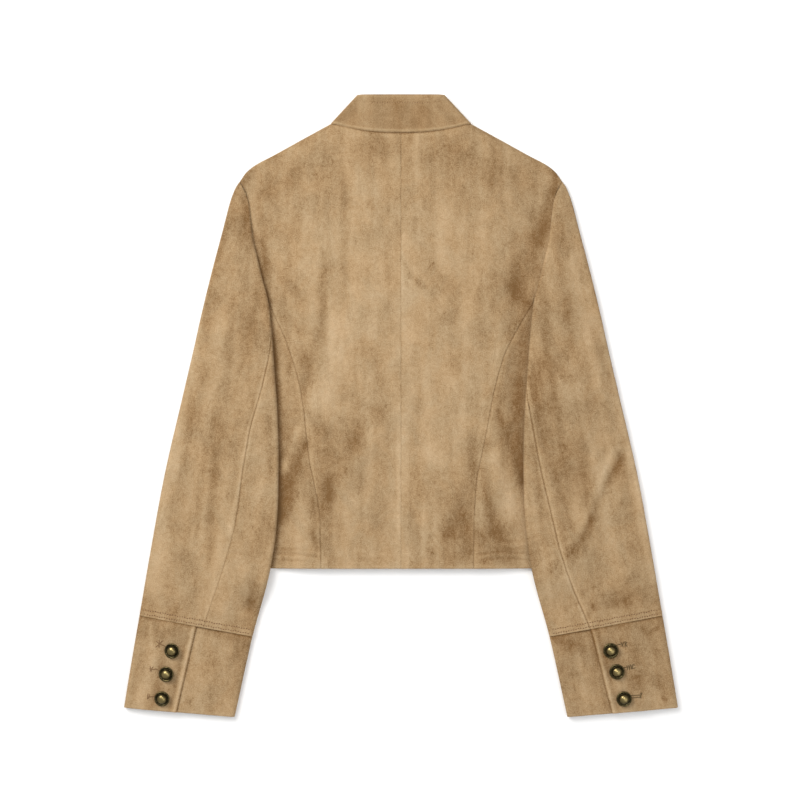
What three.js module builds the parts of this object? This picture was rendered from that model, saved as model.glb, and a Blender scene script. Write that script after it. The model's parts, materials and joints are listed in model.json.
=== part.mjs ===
// A cropped suede jacket with a stand collar, laid flat with its back up, in millimetres.
// X runs across the back, Y from the hem (-) to the collar (+), and Z up from the surface it lies on.
// The origin is under the middle of the whole outline. "Left" and "right" are the wearer's,
// so the wearer's left is at -X. Shapes are worked out for the +X half and mirrored.
import * as THREE from "three";

// Cloth and how it lies
const SUEDE = 1.6; // wall of suede with its backing
const COLLAR_WALL = 2.2; // the collar is two layers with a stiffener
const GAP = 0.3; // between pieces at a seam
const LIE = 0.5; // between a piece and one that it lies on
const CROWN = 11.2; // outer height of the back over the middle of the body
const SIDE_HEIGHT = 5.0; // outer height of the back where the sleeves press on it
const CROWN_TO = 100; // half width that keeps the full crown
const PRESSED_FROM = 160; // half width from where the body is pressed flat
const FOLD_CLEAR = { from: 112, to: 136 }; // half widths over which the body's folds fade out under the sleeve
const LAP = 12; // each front runs this far past the centre front

// Body, half widths and heights on the table
const HEM_Y = -188.5;
const NECK = { x: 81.2, y: 328.3, centreY: 317.5 }; // collar corner at the shoulder, and the centre back
const NECK_BEND = 2.3; // how late the back neck seam rises to the collar corner
const FRONT_NECK_DROP = 74; // from the collar corner down to the centre front
const CHEST = { x: 217.5, y: 84.2 }; // underarm corner of the body
const ARMHOLE_FOOT = { x: 153.7, y: 119.5 }; // where the armhole turns under the sleeve
const SHOULDER_LINE = [
  { x: 81.2, y: 328.3 },
  { x: 115.0, y: 309.8 },
  { x: 149.0, y: 291.0 },
  { x: 169.3, y: 280.2 },
  { x: 179.6, y: 272.0 },
  { x: 187.6, y: 261.0 },
];
const SIDE_EDGE = [
  { y: -188.5, x: 209.0 },
  { y: -150.0, x: 206.5 },
  { y: -100.0, x: 205.0 },
  { y: -50.0, x: 206.0 },
  { y: 0.0, x: 209.5 },
  { y: 40.0, x: 213.0 },
  { y: 84.2, x: 217.5 },
];
const PRINCESS_SEAM = {
  left: [
    { y: -188.5, x: 92.9 },
    { y: -156.0, x: 93.4 },
    { y: -126.0, x: 94.6 },
    { y: -87.0, x: 101.2 },
    { y: -60.0, x: 106.8 },
    { y: -21.0, x: 111.0 },
    { y: 23.0, x: 117.6 },
    { y: 67.0, x: 130.6 },
    { y: 119.5, x: 153.7 },
  ],
  right: [
    { y: -188.5, x: 84.1 },
    { y: -143.0, x: 84.5 },
    { y: -88.0, x: 87.8 },
    { y: -54.0, x: 94.3 },
    { y: -21.0, x: 100.9 },
    { y: 14.0, x: 107.5 },
    { y: 56.0, x: 119.0 },
    { y: 90.0, x: 136.0 },
    { y: 119.5, x: 153.7 },
  ],
};

// Sleeve outline: the outer fold, and the armhole seam that runs on as the inner fold
const OUTER_FOLD = [
  { y: -361.0, x: 323.5 },
  { y: -350.0, x: 321.9 },
  { y: -292.0, x: 312.4 },
  { y: -236.0, x: 302.7 },
  { y: -176.0, x: 292.4 },
  { y: -81.0, x: 275.0 },
  { y: 7.5, x: 254.6 },
  { y: 72.0, x: 239.6 },
  { y: 101.0, x: 233.2 },
  { y: 155.5, x: 220.0 },
  { y: 203.0, x: 207.5 },
  { y: 239.0, x: 198.0 },
  { y: 253.0, x: 192.6 },
  { y: 261.0, x: 187.6 },
];
const INNER_FOLD = [
  { y: -361.0, x: 193.3 },
  { y: -267.5, x: 172.5 },
  { y: -188.5, x: 151.4 },
  { y: -139.0, x: 144.2 },
  { y: -98.5, x: 142.2 },
  { y: -54.5, x: 141.9 },
  { y: -10.5, x: 143.1 },
  { y: 35.0, x: 146.2 },
  { y: 79.0, x: 149.4 },
  { y: 119.5, x: 153.7 },
  { y: 149.5, x: 161.2 },
  { y: 171.5, x: 166.5 },
  { y: 195.0, x: 172.0 },
  { y: 213.5, x: 174.3 },
  { y: 235.0, x: 176.8 },
  { y: 247.0, x: 180.4 },
];
// Sections across the sleeve, from the cap to the cuff seam. outerY and innerY place the section's two ends,
// height is the outer fold's, roll the inner fold's radius, turn how far that roll wraps under in degrees,
// armhole the share of the width, from the outer fold, where the under layer ends at the front armhole.
// backLeft and backRight place the back seam over the cloth from the top of the inner fold: out over the
// sleeve, or down round the roll where they are negative. front is the hidden seam, as a share of the width.
const SLEEVE_SECTIONS = [
  { k: 0, outerY: 261, innerY: 247, height: 6.8, roll: 2.0, turn: 0, armhole: 0.9, backLeft: -14.4, backRight: -14.4, front: 0.9 },
  { k: 1, outerY: 243, innerY: 234, height: 7.6, roll: 2.4, turn: 10, armhole: 0.95, backLeft: -14.4, backRight: -14.4, front: 0.95 },
  { k: 2, outerY: 218, innerY: 214, height: 8.2, roll: 2.8, turn: 20, armhole: 0.97, backLeft: -14.4, backRight: -14.4, front: 0.97 },
  { k: 3, outerY: 185, innerY: 194, height: 8.8, roll: 3.2, turn: 35, armhole: 0.97, backLeft: -14.4, backRight: -14.4, front: 0.97 },
  { k: 4, outerY: 148, innerY: 171, height: 9.1, roll: 3.6, turn: 50, armhole: 0.92, backLeft: -14.4, backRight: -14.4, front: 0.92 },
  { k: 5, outerY: 112, innerY: 147, height: 9.2, roll: 4.1, turn: 70, armhole: 0.74, backLeft: -14.4, backRight: -14.4, front: 0.74 },
  { k: 6, outerY: 72, innerY: 119.5, height: 9.2, roll: 4.6, turn: 90, armhole: 0.256, backLeft: -14.4, backRight: -14.4, front: 0.256 },
  { k: 7, outerY: 34, innerY: 84, height: 9.2, roll: 4.6, turn: 90, armhole: 0.256, backLeft: -6, backRight: -13, front: 0.21 },
  { k: 8, outerY: -8, innerY: 34, height: 9.2, roll: 4.6, turn: 90, armhole: 0.256, backLeft: 9.4, backRight: -8, front: 0.2 },
  { k: 9, outerY: -50, innerY: -20, height: 9.2, roll: 4.6, turn: 90, armhole: 0.256, backLeft: 28.3, backRight: 5.3, front: 0.2 },
  { k: 10, outerY: -92, innerY: -72, height: 9.2, roll: 4.6, turn: 90, armhole: 0.256, backLeft: 37.3, backRight: 15.9, front: 0.2 },
  { k: 11, outerY: -134, innerY: -124, height: 9.2, roll: 4.6, turn: 90, armhole: 0.256, backLeft: 42.6, backRight: 26.6, front: 0.2 },
  { k: 12, outerY: -176, innerY: -176, height: 9.2, roll: 4.6, turn: 90, armhole: 0.256, backLeft: 48.9, backRight: 33.2, front: 0.2 },
  { k: 13, outerY: -212, innerY: -222, height: 9.0, roll: 4.5, turn: 90, armhole: 0.256, backLeft: 52.2, backRight: 38.5, front: 0.2 },
  { k: 14, outerY: -243, innerY: -267.5, height: 8.8, roll: 4.4, turn: 90, armhole: 0.256, backLeft: 53, backRight: 43.5, front: 0.2 },
];
const FOOT_SECTION = 6; // the section through the armhole's foot, where the sleeve becomes a closed tube
const CUFF_SECTION = 14;
const UNDER_COLUMNS = 7; // columns across the under sleeve's lower layer
const FIRST_K = 0.02; // the sleeve starts this far into its first section, for the gap at the seam
const STEP_OUT = 22; // how far outside the body's side the under layer starts to climb over it
const STEP_IN = 5; // and how far inside it is fully on top
const LIFT_BEFORE_FOOT = 0.6; // part of a section over which it leaves the front armhole
const DRAPE_OUT = 42; // the same for the top layer, which drapes more softly
const DRAPE_IN = 24;
const HEM_CLEAR = 12; // length past the hem that stays up
const HEM_DRAPE = 36; // length past the hem over which the sleeve comes down to the table
const PUFF = 1.4; // extra height in the middle of the sleeve
const FOLD_FADE = 2.2; // how fast the sleeve's folds fade in from its two edges
const LEAST_ROUND = -0.96; // the back seam never comes nearer to the under layer than this

// Cuffs: a band whose ends lap at a slit that carries on the back seam
const CUFF_TOP = { outerY: -243.4, innerY: -267.9 };
const CUFF_END = { outerY: -350.0, innerY: -361.0 };
const CUFF_HEIGHT = 8.8;
const CUFF_LIFT = 1.9; // the upper end lies on the lower one
const CUFF_LIFT_FADE = { from: 0.28, over: 0.2 }; // shares of the width past the slit
const CUFF_UNDERLAP = 30;
const CUFF_FLAT = 122; // straight part of the cuff's width
const CUFF_LENGTH = 101; // from its seam to its edge
const CUFF_SLIT = { left: { top: 0.49, end: 0.522 }, right: { top: 0.348, end: 0.392 } };

// Buttons: distance along the cuff from its top seam, and from the slit
const BUTTON_RADIUS = 9;
const BUTTON_SHANK = { radius: 2.4, length: 2 };
const BUTTON_PLACES = {
  left: [
    { along: 31.5, fromSlit: 20.6, lean: 12, towards: 200 },
    { along: 58.5, fromSlit: 21.2, lean: 10, towards: 190 },
    { along: 86.5, fromSlit: 20.0, lean: 8, towards: 250 },
  ],
  right: [
    { along: 28, fromSlit: 16.4, lean: 4, towards: 200 },
    { along: 53, fromSlit: 17.4, lean: 4, towards: 230 },
    { along: 85, fromSlit: 17.9, lean: 5, towards: 210 },
  ],
};

// Collar
const COLLAR = { topX: 51, topY: 361, height: 12.2, frontDrop: 72, startAngle: 9 };
const COLLAR_FOLD = COLLAR.height / 2;
const NECK_COLUMNS = [0, 20, 40, 58, NECK.x - COLLAR_FOLD]; // along the back neck seam
const NECK_ANGLES = [0, 9, 20, 28, 38, 48, 60, 75, 90]; // round the front neckline

// Largest folds: a soft ridge from one point to another, with its half width and height
const BODY_FOLDS = [
  { fromX: -16, fromY: -12, toX: -74, toY: -88, width: 16, height: 2.2 },
  { fromX: -84, fromY: -112, toX: -98, toY: -160, width: 11, height: 2.0 },
  { fromX: -116, fromY: -30, toX: -137, toY: -104, width: 10, height: 2.2 },
  { fromX: 112, fromY: -52, toX: 104, toY: -118, width: 13, height: 2.6 },
  { fromX: 66, fromY: -96, toX: 46, toY: -150, width: 12, height: 1.8 },
  { fromX: 120, fromY: 60, toX: 128, toY: -36, width: 9, height: 1.8 },
  { fromX: -132, fromY: 84, toX: -122, toY: 20, width: 9, height: 1.6 },
];
const SLEEVE_FOLDS = {
  left: [
    { fromX: -226, fromY: 60, toX: -248, toY: -60, width: 12, height: 1.6 },
    { fromX: -176, fromY: 40, toX: -196, toY: -70, width: 13, height: 1.5 },
    { fromX: -262, fromY: -110, toX: -276, toY: -200, width: 13, height: 1.4 },
    { fromX: -176, fromY: -196, toX: -204, toY: -232, width: 9, height: 1.6 },
  ],
  right: [
    { fromX: 222, fromY: 70, toX: 250, toY: -40, width: 12, height: 1.6 },
    { fromX: 226, fromY: -100, toX: 208, toY: -176, width: 10, height: 1.8 },
    { fromX: 268, fromY: -64, toX: 252, toY: -112, width: 10, height: 1.6 },
    { fromX: 262, fromY: -196, toX: 226, toY: -226, width: 9, height: 1.5 },
  ],
};

const lerp = (a, b, t) => a + (b - a) * t;
const clamp = (v) => Math.min(1, Math.max(0, v));
const ease = (v) => {
  const t = clamp(v);
  return t * t * (3 - 2 * t);
};
const radians = (degrees) => (degrees * Math.PI) / 180;

// A smooth curve through a table's rows that never overshoots: one named column as a function of another.
function column(rows, of, over) {
  const x = rows.map((r) => r[over]);
  const y = rows.map((r) => r[of]);
  const slope = x.slice(1).map((v, i) => (y[i + 1] - y[i]) / (v - x[i]));
  const tangent = x.map((_, i) => {
    const before = slope[Math.max(0, i - 1)];
    const after = slope[Math.min(slope.length - 1, i)];
    return before * after <= 0 ? 0 : (2 * before * after) / (before + after);
  });
  return (at) => {
    let i = 0;
    while (i < x.length - 2 && at > x[i + 1]) i += 1;
    const h = x[i + 1] - x[i];
    const t = clamp((at - x[i]) / h);
    const t2 = t * t;
    const t3 = t2 * t;
    return (
      y[i] * (2 * t3 - 3 * t2 + 1) +
      y[i + 1] * (3 * t2 - 2 * t3) +
      h * (tangent[i] * (t3 - 2 * t2 + t) + tangent[i + 1] * (t3 - t2))
    );
  };
}

const outerFoldX = column(OUTER_FOLD, "x", "y");
const innerFoldX = column(INNER_FOLD, "x", "y");
const sideX = column(SIDE_EDGE, "x", "y");
const princessX = {
  left: column(PRINCESS_SEAM.left, "x", "y"),
  right: column(PRINCESS_SEAM.right, "x", "y"),
};
const shoulderY = column(SHOULDER_LINE, "y", "x");
const section = Object.fromEntries(
  Object.keys(SLEEVE_SECTIONS[0]).map((name) => [name, column(SLEEVE_SECTIONS, name, "k")]),
);

// Height that a list of folds adds at a point: each is a ridge with a bell-shaped section.
function foldHeight(folds, x, y) {
  return folds.reduce((sum, f) => {
    const dx = f.toX - f.fromX;
    const dy = f.toY - f.fromY;
    const t = clamp(((x - f.fromX) * dx + (y - f.fromY) * dy) / (dx * dx + dy * dy));
    const away = Math.hypot(x - f.fromX - t * dx, y - f.fromY - t * dy) / f.width;
    return sum + f.height * Math.exp(-away * away);
  }, 0);
}

const pressed = (x) => lerp(SIDE_HEIGHT, CROWN, ease((PRESSED_FROM - x) / (PRESSED_FROM - CROWN_TO)));

// Even steps from 0 to 1.
const steps = (count) => Array.from({ length: count + 1 }, (_, i) => i / count);
// Even steps between two values, without the first.
const onward = (from, to, count) => steps(count).slice(1).map((t) => lerp(from, to, t));

const SHOULDER_END = SHOULDER_LINE[SHOULDER_LINE.length - 1];
const SHOULDER_POINTS = steps(40).map((t) => {
  const x = lerp(NECK.x, SHOULDER_END.x, t);
  return { x, y: shoulderY(x) };
});

// Distance from a point of the body to its folded edge at the shoulder.
function fromShoulder(x, y) {
  return SHOULDER_POINTS.slice(1).reduce((least, b, i) => {
    const a = SHOULDER_POINTS[i];
    const dx = b.x - a.x;
    const dy = b.y - a.y;
    const t = clamp(((x - a.x) * dx + (y - a.y) * dy) / (dx * dx + dy * dy));
    return Math.min(least, Math.hypot(x - a.x - t * dx, y - a.y - t * dy));
  }, Infinity);
}

// Outer height of the back at a point of the +X half: the crown, the folds, and a quarter round
// down to the front's wall along the shoulder and the side.
function backHeight(side, x, y) {
  const sign = side === "left" ? -1 : 1;
  const rim = SUEDE + GAP;
  const clear = ease((FOLD_CLEAR.to - x) / (FOLD_CLEAR.to - FOLD_CLEAR.from));
  const top = pressed(x) + clear * foldHeight(BODY_FOLDS, sign * x, y);
  const edge = Math.min(fromShoulder(x, y), sideX(Math.min(y, CHEST.y)) - x);
  const radius = top - rim;
  const into = radius - Math.min(radius, Math.max(0, edge));
  return rim + Math.sqrt(Math.max(0, radius * radius - into * into));
}

// A closed solid between an outer and an inner grid of points, rows by columns.
function shell(outer, inner) {
  const rows = outer.length;
  const cols = outer[0].length;
  const points = [...outer.flat(), ...inner.flat()];
  const index = [];
  const quad = (a, b, c, d) => {
    const split = points[a].distanceTo(points[c]) <= points[b].distanceTo(points[d]);
    index.push(...(split ? [a, b, c, a, c, d] : [a, b, d, b, c, d]));
  };
  const at = (r, c) => r * cols + c;
  const back = rows * cols;
  for (let r = 0; r < rows - 1; r += 1)
    for (let c = 0; c < cols - 1; c += 1) {
      quad(at(r, c), at(r, c + 1), at(r + 1, c + 1), at(r + 1, c));
      quad(back + at(r, c), back + at(r + 1, c), back + at(r + 1, c + 1), back + at(r, c + 1));
    }
  for (let c = 0; c < cols - 1; c += 1) {
    quad(at(0, c + 1), at(0, c), back + at(0, c), back + at(0, c + 1));
    quad(at(rows - 1, c), at(rows - 1, c + 1), back + at(rows - 1, c + 1), back + at(rows - 1, c));
  }
  for (let r = 0; r < rows - 1; r += 1) {
    quad(at(r, 0), at(r + 1, 0), back + at(r + 1, 0), back + at(r, 0));
    quad(at(r + 1, cols - 1), at(r, cols - 1), back + at(r, cols - 1), back + at(r + 1, cols - 1));
  }
  const volume = new THREE.Vector3();
  let six = 0;
  for (let i = 0; i < index.length; i += 3)
    six += points[index[i]].dot(volume.crossVectors(points[index[i + 1]], points[index[i + 2]]));
  if (six < 0)
    for (let i = 0; i < index.length; i += 3)
      [index[i], index[i + 1]] = [index[i + 1], index[i]];
  const geometry = new THREE.BufferGeometry().setFromPoints(points);
  geometry.setIndex(index);
  return geometry;
}

// A wall under surface(u, v), whose rows run across a piece: each point is moved in at right angles to its row.
// lengthways(v) is level, and crossed with the row's direction it points out of the cloth.
function wall(surface, us, vs, thickness, lengthways) {
  const step = 1e-3;
  const outer = vs.map((v) => us.map((u) => surface(u, v)));
  const inner = vs.map((v, r) =>
    us.map((u, c) => {
      const across = surface(Math.min(1, u + step), v).sub(surface(Math.max(0, u - step), v));
      const normal = across.cross(lengthways(v)).normalize();
      return outer[r][c].clone().addScaledVector(normal, -thickness);
    }),
  );
  return shell(outer, inner);
}

// A four-sided patch between boundary curves, each a function from 0 to 1 that gives [x, y]. The bend of the
// right boundary carries on into the patch by its share(u).
function patch(bottom, top, left, right, share = (u) => u) {
  const bend = (curve, v, i) => curve(v)[i] - lerp(curve(0)[i], curve(1)[i], v);
  return (u, v) =>
    [0, 1].map(
      (i) =>
        lerp(bottom(u)[i], top(u)[i], v) + (1 - share(u)) * bend(left, v, i) + share(u) * bend(right, v, i),
    );
}

const SEAM_ROWS = 11; // rows up the princess seam, the same on its two sides
const signOf = (side) => (side === "left" ? -1 : 1);

// The two ends of the sleeve's section k, and its width.
function sectionEnds(k) {
  const outer = { y: section.outerY(k) };
  const inner = { y: section.innerY(k) };
  outer.x = outerFoldX(outer.y);
  inner.x = innerFoldX(inner.y);
  return { outer, inner, width: Math.hypot(outer.x - inner.x, outer.y - inner.y) };
}

// Share of section k's width where it crosses the front armhole or, lower down, the body's side.
function crossing(k) {
  if (k <= FOOT_SECTION) return section.armhole(k);
  const { outer, inner } = sectionEnds(k);
  let share = 0.4;
  for (let i = 0; i < 4; i += 1) {
    const y = Math.min(CHEST.y, Math.max(HEM_Y, lerp(outer.y, inner.y, share)));
    share = (outer.x - sideX(y)) / (outer.x - inner.x);
  }
  return share;
}

const frontArmhole = (k) => {
  const { outer, inner } = sectionEnds(k);
  return [lerp(outer.x, inner.x, crossing(k)), lerp(outer.y, inner.y, crossing(k))];
};

const pastHem = (y) => ease((y - HEM_Y + HEM_CLEAR + HEM_DRAPE) / HEM_DRAPE);

// Height of the sleeve's under layer: on the table outside the body, and on the body's back inside it.
function underHeight(k, share) {
  const { outer, inner, width } = sectionEnds(k);
  const x = lerp(outer.x, inner.x, share);
  const y = lerp(outer.y, inner.y, share);
  const inside = (share - crossing(k)) * width;
  const reached = ease((k - FOOT_SECTION + LIFT_BEFORE_FOOT) / LIFT_BEFORE_FOOT);
  return (
    reached * (pressed(x) + LIE) * ease((inside + STEP_OUT) / (STEP_OUT + STEP_IN)) * pastHem(y)
  );
}

// A point of the sleeve's section k, by its share of the width from the outer fold, at a height.
function sleevePoint(side, k, share, z) {
  const { outer, inner } = sectionEnds(k);
  return new THREE.Vector3(signOf(side) * lerp(outer.x, inner.x, share), lerp(outer.y, inner.y, share), z);
}

// Upper layer of the sleeve: round runs from -1 to 0 up the inner roll, and from 0 to 1 out to the outer fold.
function upperLayer(side, k, round) {
  const { inner, width } = sectionEnds(k);
  const roll = section.roll(k);
  const turn = radians(section.turn(k));
  const low = k < FOOT_SECTION ? pressed(inner.x) + LIE : underHeight(k, 1 - roll / width);
  const rollCentre = low + roll * Math.sin(turn);
  if (round < 0) {
    const angle = lerp(-turn, Math.PI / 2, round + 1);
    return sleevePoint(side, k, 1 - (roll * (1 - Math.cos(angle))) / width, rollCentre + roll * Math.sin(angle));
  }
  const height = section.height(k);
  const share = lerp(1 - roll / width, height / 2 / width, round);
  const from = Math.max(0, crossing(k) - DRAPE_OUT / width);
  const to = Math.min(1, crossing(k) + DRAPE_IN / width);
  const middle = Math.sin(Math.PI * round);
  const point = sleevePoint(side, k, share, lerp(height, rollCentre + roll, ease((share - from) / (to - from))));
  point.z += middle * PUFF + Math.min(1, FOLD_FADE * middle) * foldHeight(SLEEVE_FOLDS[side], point.x, point.y);
  return point;
}

// Outer fold of the sleeve, from its top at 0 to the table at 1.
function outerFold(side, k, t) {
  const radius = section.height(k) / 2;
  const angle = lerp(Math.PI / 2, -Math.PI / 2, t);
  return sleevePoint(side, k, (radius * (1 - Math.cos(angle))) / sectionEnds(k).width, radius + radius * Math.sin(angle));
}

const underLayer = (side, k, share) => sleevePoint(side, k, share, underHeight(k, share));

// Level direction along the sleeve or cuff, at right angles to a section from its inner to its outer end.
function acrossFrom(side, outer, inner) {
  const length = Math.hypot(outer.x - inner.x, outer.y - inner.y);
  return new THREE.Vector3((inner.y - outer.y) / length, (signOf(side) * (outer.x - inner.x)) / length, 0);
}

function alongSleeve(side, k) {
  const { outer, inner } = sectionEnds(k);
  return acrossFrom(side, outer, inner);
}

// Place of the back seam as a round, set off by a distance: one unit is the roll's arc or the top's width.
function backSeam(side, k, off) {
  if (k < FOOT_SECTION) return -1;
  const roll = section.roll(k);
  const from = section[side === "left" ? "backLeft" : "backRight"](k);
  const unit = from < 0 ? Math.PI * roll : sectionEnds(k).width - roll - section.height(k) / 2;
  return Math.max(LEAST_ROUND, from / unit) + off / unit;
}

// Upper sleeve: from the back seam over the top, round the outer fold and under to the front seam.
function upperSleeve(side) {
  const overTop = 0.5; // shares of the columns on the top, and round the outer fold
  const overFold = 0.75;
  const kAt = (v) => Math.max(FIRST_K, CUFF_SECTION * v);
  const surface = (u, v) => {
    const k = kAt(v);
    if (u <= overTop) return upperLayer(side, k, lerp(backSeam(side, k, GAP / 2), 1, u / overTop));
    if (u <= overFold) return outerFold(side, k, (u - overTop) / (overFold - overTop));
    const { width } = sectionEnds(k);
    const seam = (k < FOOT_SECTION ? section.armhole(k) : section.front(k)) - GAP / width;
    return underLayer(side, k, lerp(section.height(k) / 2 / width, seam, (u - overFold) / (1 - overFold)));
  };
  const us = [...steps(11).map((t) => t * overTop), ...onward(overTop, overFold, 5), ...onward(overFold, 1, 3)];
  return wall(surface, us, steps(2 * CUFF_SECTION), SUEDE, (v) => alongSleeve(side, kAt(v)));
}

// Columns of the under sleeve's lower layer, as shares of the width: closer where it steps over the body's side.
function underShares(k) {
  const { width } = sectionEnds(k);
  const start = section.front(k);
  const end = 1 - section.roll(k) / width;
  const least = 0.004; // of the width, between two columns
  const flat = Math.max(start + least, crossing(k) - STEP_OUT / width);
  const foot = Math.max(flat + least, crossing(k) - (0.5 * STEP_OUT) / width);
  const rise = Math.max(foot + least, crossing(k) - (0.1 * STEP_OUT) / width);
  const head = Math.max(rise + least, crossing(k) + STEP_IN / width);
  return [start, flat, foot, rise, head, ...onward(head, end, UNDER_COLUMNS - 4)];
}

// Under sleeve: from the front seam in along the under layer, round the inner fold and up to the back seam.
function underSleeve(side) {
  const underneath = 0.4; // share of the columns on the under layer
  const kAt = (v) => Math.max(FOOT_SECTION + FIRST_K, lerp(FOOT_SECTION, CUFF_SECTION, v));
  const surface = (u, v) => {
    const k = kAt(v);
    if (u <= underneath) {
      const shares = underShares(k);
      const at = (u / underneath) * (shares.length - 1);
      const i = Math.min(shares.length - 2, Math.floor(at));
      return underLayer(side, k, lerp(shares[i], shares[i + 1], at - i));
    }
    return upperLayer(side, k, lerp(-1, backSeam(side, k, -GAP / 2), (u - underneath) / (1 - underneath)));
  };
  const us = [...steps(UNDER_COLUMNS).map((t) => t * underneath), ...onward(underneath, 1, 9)];
  const rows = steps(2 * (CUFF_SECTION - FOOT_SECTION));
  return wall(surface, us, rows, SUEDE, (v) => alongSleeve(side, kAt(v)));
}

// The two ends of the cuff's row s, from 0 at its seam to 1 at its edge.
function cuffEnds(s) {
  const outer = { y: lerp(CUFF_TOP.outerY, CUFF_END.outerY, s) };
  const inner = { y: lerp(CUFF_TOP.innerY, CUFF_END.innerY, s) };
  outer.x = outerFoldX(outer.y);
  inner.x = innerFoldX(inner.y);
  return { outer, inner, width: Math.hypot(outer.x - inner.x, outer.y - inner.y) };
}

// A point of the cuff's outer surface, with round as on the sleeve and values over 4 for the lap under the slit.
function cuffPoint(side, s, round) {
  const { outer, inner, width } = cuffEnds(s);
  const fold = CUFF_HEIGHT / 2;
  const slit = lerp(CUFF_SLIT[side].top, CUFF_SLIT[side].end, s);
  let share;
  let z;
  if (round <= 1 || round >= 4) {
    const c = round >= 4 ? round - 4 : round;
    share = lerp(1 - fold / width, fold / width, c);
    const lifted = round >= 4 ? 0 : 1 - ease((c - slit - CUFF_LIFT_FADE.from) / CUFF_LIFT_FADE.over);
    z = CUFF_HEIGHT + CUFF_LIFT * lifted;
  } else if (round <= 2) {
    const angle = lerp(Math.PI / 2, -Math.PI / 2, round - 1);
    share = (fold * (1 - Math.cos(angle))) / width;
    z = fold + fold * Math.sin(angle);
  } else if (round <= 3) {
    share = lerp(fold / width, 1 - fold / width, round - 2);
    z = 0;
  } else {
    const angle = lerp(-Math.PI / 2, Math.PI / 2, round - 3);
    share = 1 - (fold * (1 - Math.cos(angle))) / width;
    z = fold + fold * Math.sin(angle);
  }
  return new THREE.Vector3(
    signOf(side) * lerp(outer.x, inner.x, share),
    lerp(outer.y, inner.y, share),
    z,
  );
}

function cuff(side) {
  const slitAt = (s) => lerp(CUFF_SLIT[side].top, CUFF_SLIT[side].end, s);
  const roundAt = (u, s) => {
    const slit = slitAt(s);
    if (u <= 0.2) return lerp(slit, 1, u / 0.2);
    if (u <= 0.8) return lerp(1, 4, (u - 0.2) / 0.6);
    return lerp(4, 4 + slit + CUFF_UNDERLAP / CUFF_FLAT, (u - 0.8) / 0.2);
  };
  const us = [
    ...steps(6).map((t) => t * 0.2),
    ...onward(0.2, 0.4, 6),
    ...onward(0.4, 0.6, 3),
    ...onward(0.6, 0.8, 6),
    ...onward(0.8, 1, 5),
  ];
  const surface = (u, v) => cuffPoint(side, v, roundAt(u, v));
  return wall(surface, us, steps(4), SUEDE, (s) => {
    const ends = cuffEnds(s);
    return acrossFrom(side, ends.outer, ends.inner);
  });
}

// Centre back: from the centre seam out to the princess seam and the armhole, up to the collar and shoulder.
function centreBack(side) {
  const foot = 0.66; // shares of the outer boundary's length at the armhole's foot and at its top
  const head = 0.95;
  const neck = 0.43; // share of the top boundary that is the neck seam
  const half = GAP / 2;
  const bottom = (u) => [lerp(half, princessX[side](HEM_Y) - half, u), HEM_Y];
  const left = (v) => [half, lerp(HEM_Y, NECK.centreY, v)];
  const right = (v) => {
    if (v <= foot) {
      const y = lerp(HEM_Y, ARMHOLE_FOOT.y, v / foot);
      return [princessX[side](y) - half, y];
    }
    if (v <= head) {
      const k = lerp(FOOT_SECTION, 0, (v - foot) / (head - foot));
      const { inner } = sectionEnds(k);
      const tuck = section.roll(k) * (1 - Math.cos(radians(section.turn(k)))) + SUEDE;
      return [inner.x - half + tuck * ease((v - foot) / 0.06) * ease((head - v) / 0.06), inner.y];
    }
    const { inner } = sectionEnds(0);
    const t = (v - head) / (1 - head);
    return [lerp(inner.x, SHOULDER_END.x, t) - half, lerp(inner.y, SHOULDER_END.y, t) + half];
  };
  const seamShare = NECK_COLUMNS.map((x) => (neck * x) / NECK.x);
  const top = (u) => {
    if (u <= neck) {
      const x = Math.max(half, (NECK.x * u) / neck);
      return [x, neckY(x) - half];
    }
    const x = lerp(NECK.x, SHOULDER_END.x - half, (u - neck) / (1 - neck));
    return [x, shoulderY(x)];
  };
  const flat = patch(bottom, top, left, right);
  const surface = (u, v) => {
    const [x, y] = flat(u, v);
    return new THREE.Vector3(signOf(side) * x, y, backHeight(side, x, y));
  };
  const us = [...seamShare, neck, ...onward(neck, 1, 7)];
  const vs = [...steps(SEAM_ROWS).map((t) => t * foot), ...onward(foot, head, FOOT_SECTION), 0.982, 0.99, 0.9955, 0.9988, 1];
  return raised(surface, us, vs, side);
}

// A wall under a height field: its inner points are moved in along the normal, but not below the edge's rim.
function raised(surface, us, vs, side) {
  const step = 0.4;
  const rim = SUEDE + GAP;
  const outer = vs.map((v) => us.map((u) => surface(u, v)));
  const inner = outer.map((row) =>
    row.map((p) => {
      const x = Math.abs(p.x);
      const dx = backHeight(side, x + step, p.y) - backHeight(side, x - step, p.y);
      const dy = backHeight(side, x, p.y + step) - backHeight(side, x, p.y - step);
      const normal = new THREE.Vector3((-signOf(side) * dx) / step / 2, -dy / step / 2, 1).normalize();
      const q = p.clone().addScaledVector(normal, -SUEDE);
      q.z = Math.max(q.z, rim);
      return q;
    }),
  );
  return shell(outer, inner);
}

// Side back: from the princess seam to the side, up to the armhole's hidden part.
function sideBack(side) {
  const half = GAP / 2;
  const right = (v) => {
    const y = lerp(HEM_Y, CHEST.y, v);
    return [sideX(y), y];
  };
  const left = (v) => {
    const y = lerp(HEM_Y, ARMHOLE_FOOT.y, v);
    return [princessX[side](y) + half, y];
  };
  const bottom = (u) => [lerp(left(0)[0], right(0)[0], u), HEM_Y];
  const top = (u) => [lerp(left(1)[0], right(1)[0], u), lerp(ARMHOLE_FOOT.y, CHEST.y, u)];
  const flat = patch(bottom, top, left, right);
  const surface = (u, v) => {
    const [x, y] = flat(u, v);
    return new THREE.Vector3(signOf(side) * x, y, backHeight(side, x, y));
  };
  const us = [...steps(7).map((t) => t * 0.967), 0.98, 0.99, 0.9975, 1];
  return raised(surface, us, steps(SEAM_ROWS), side);
}

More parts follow.
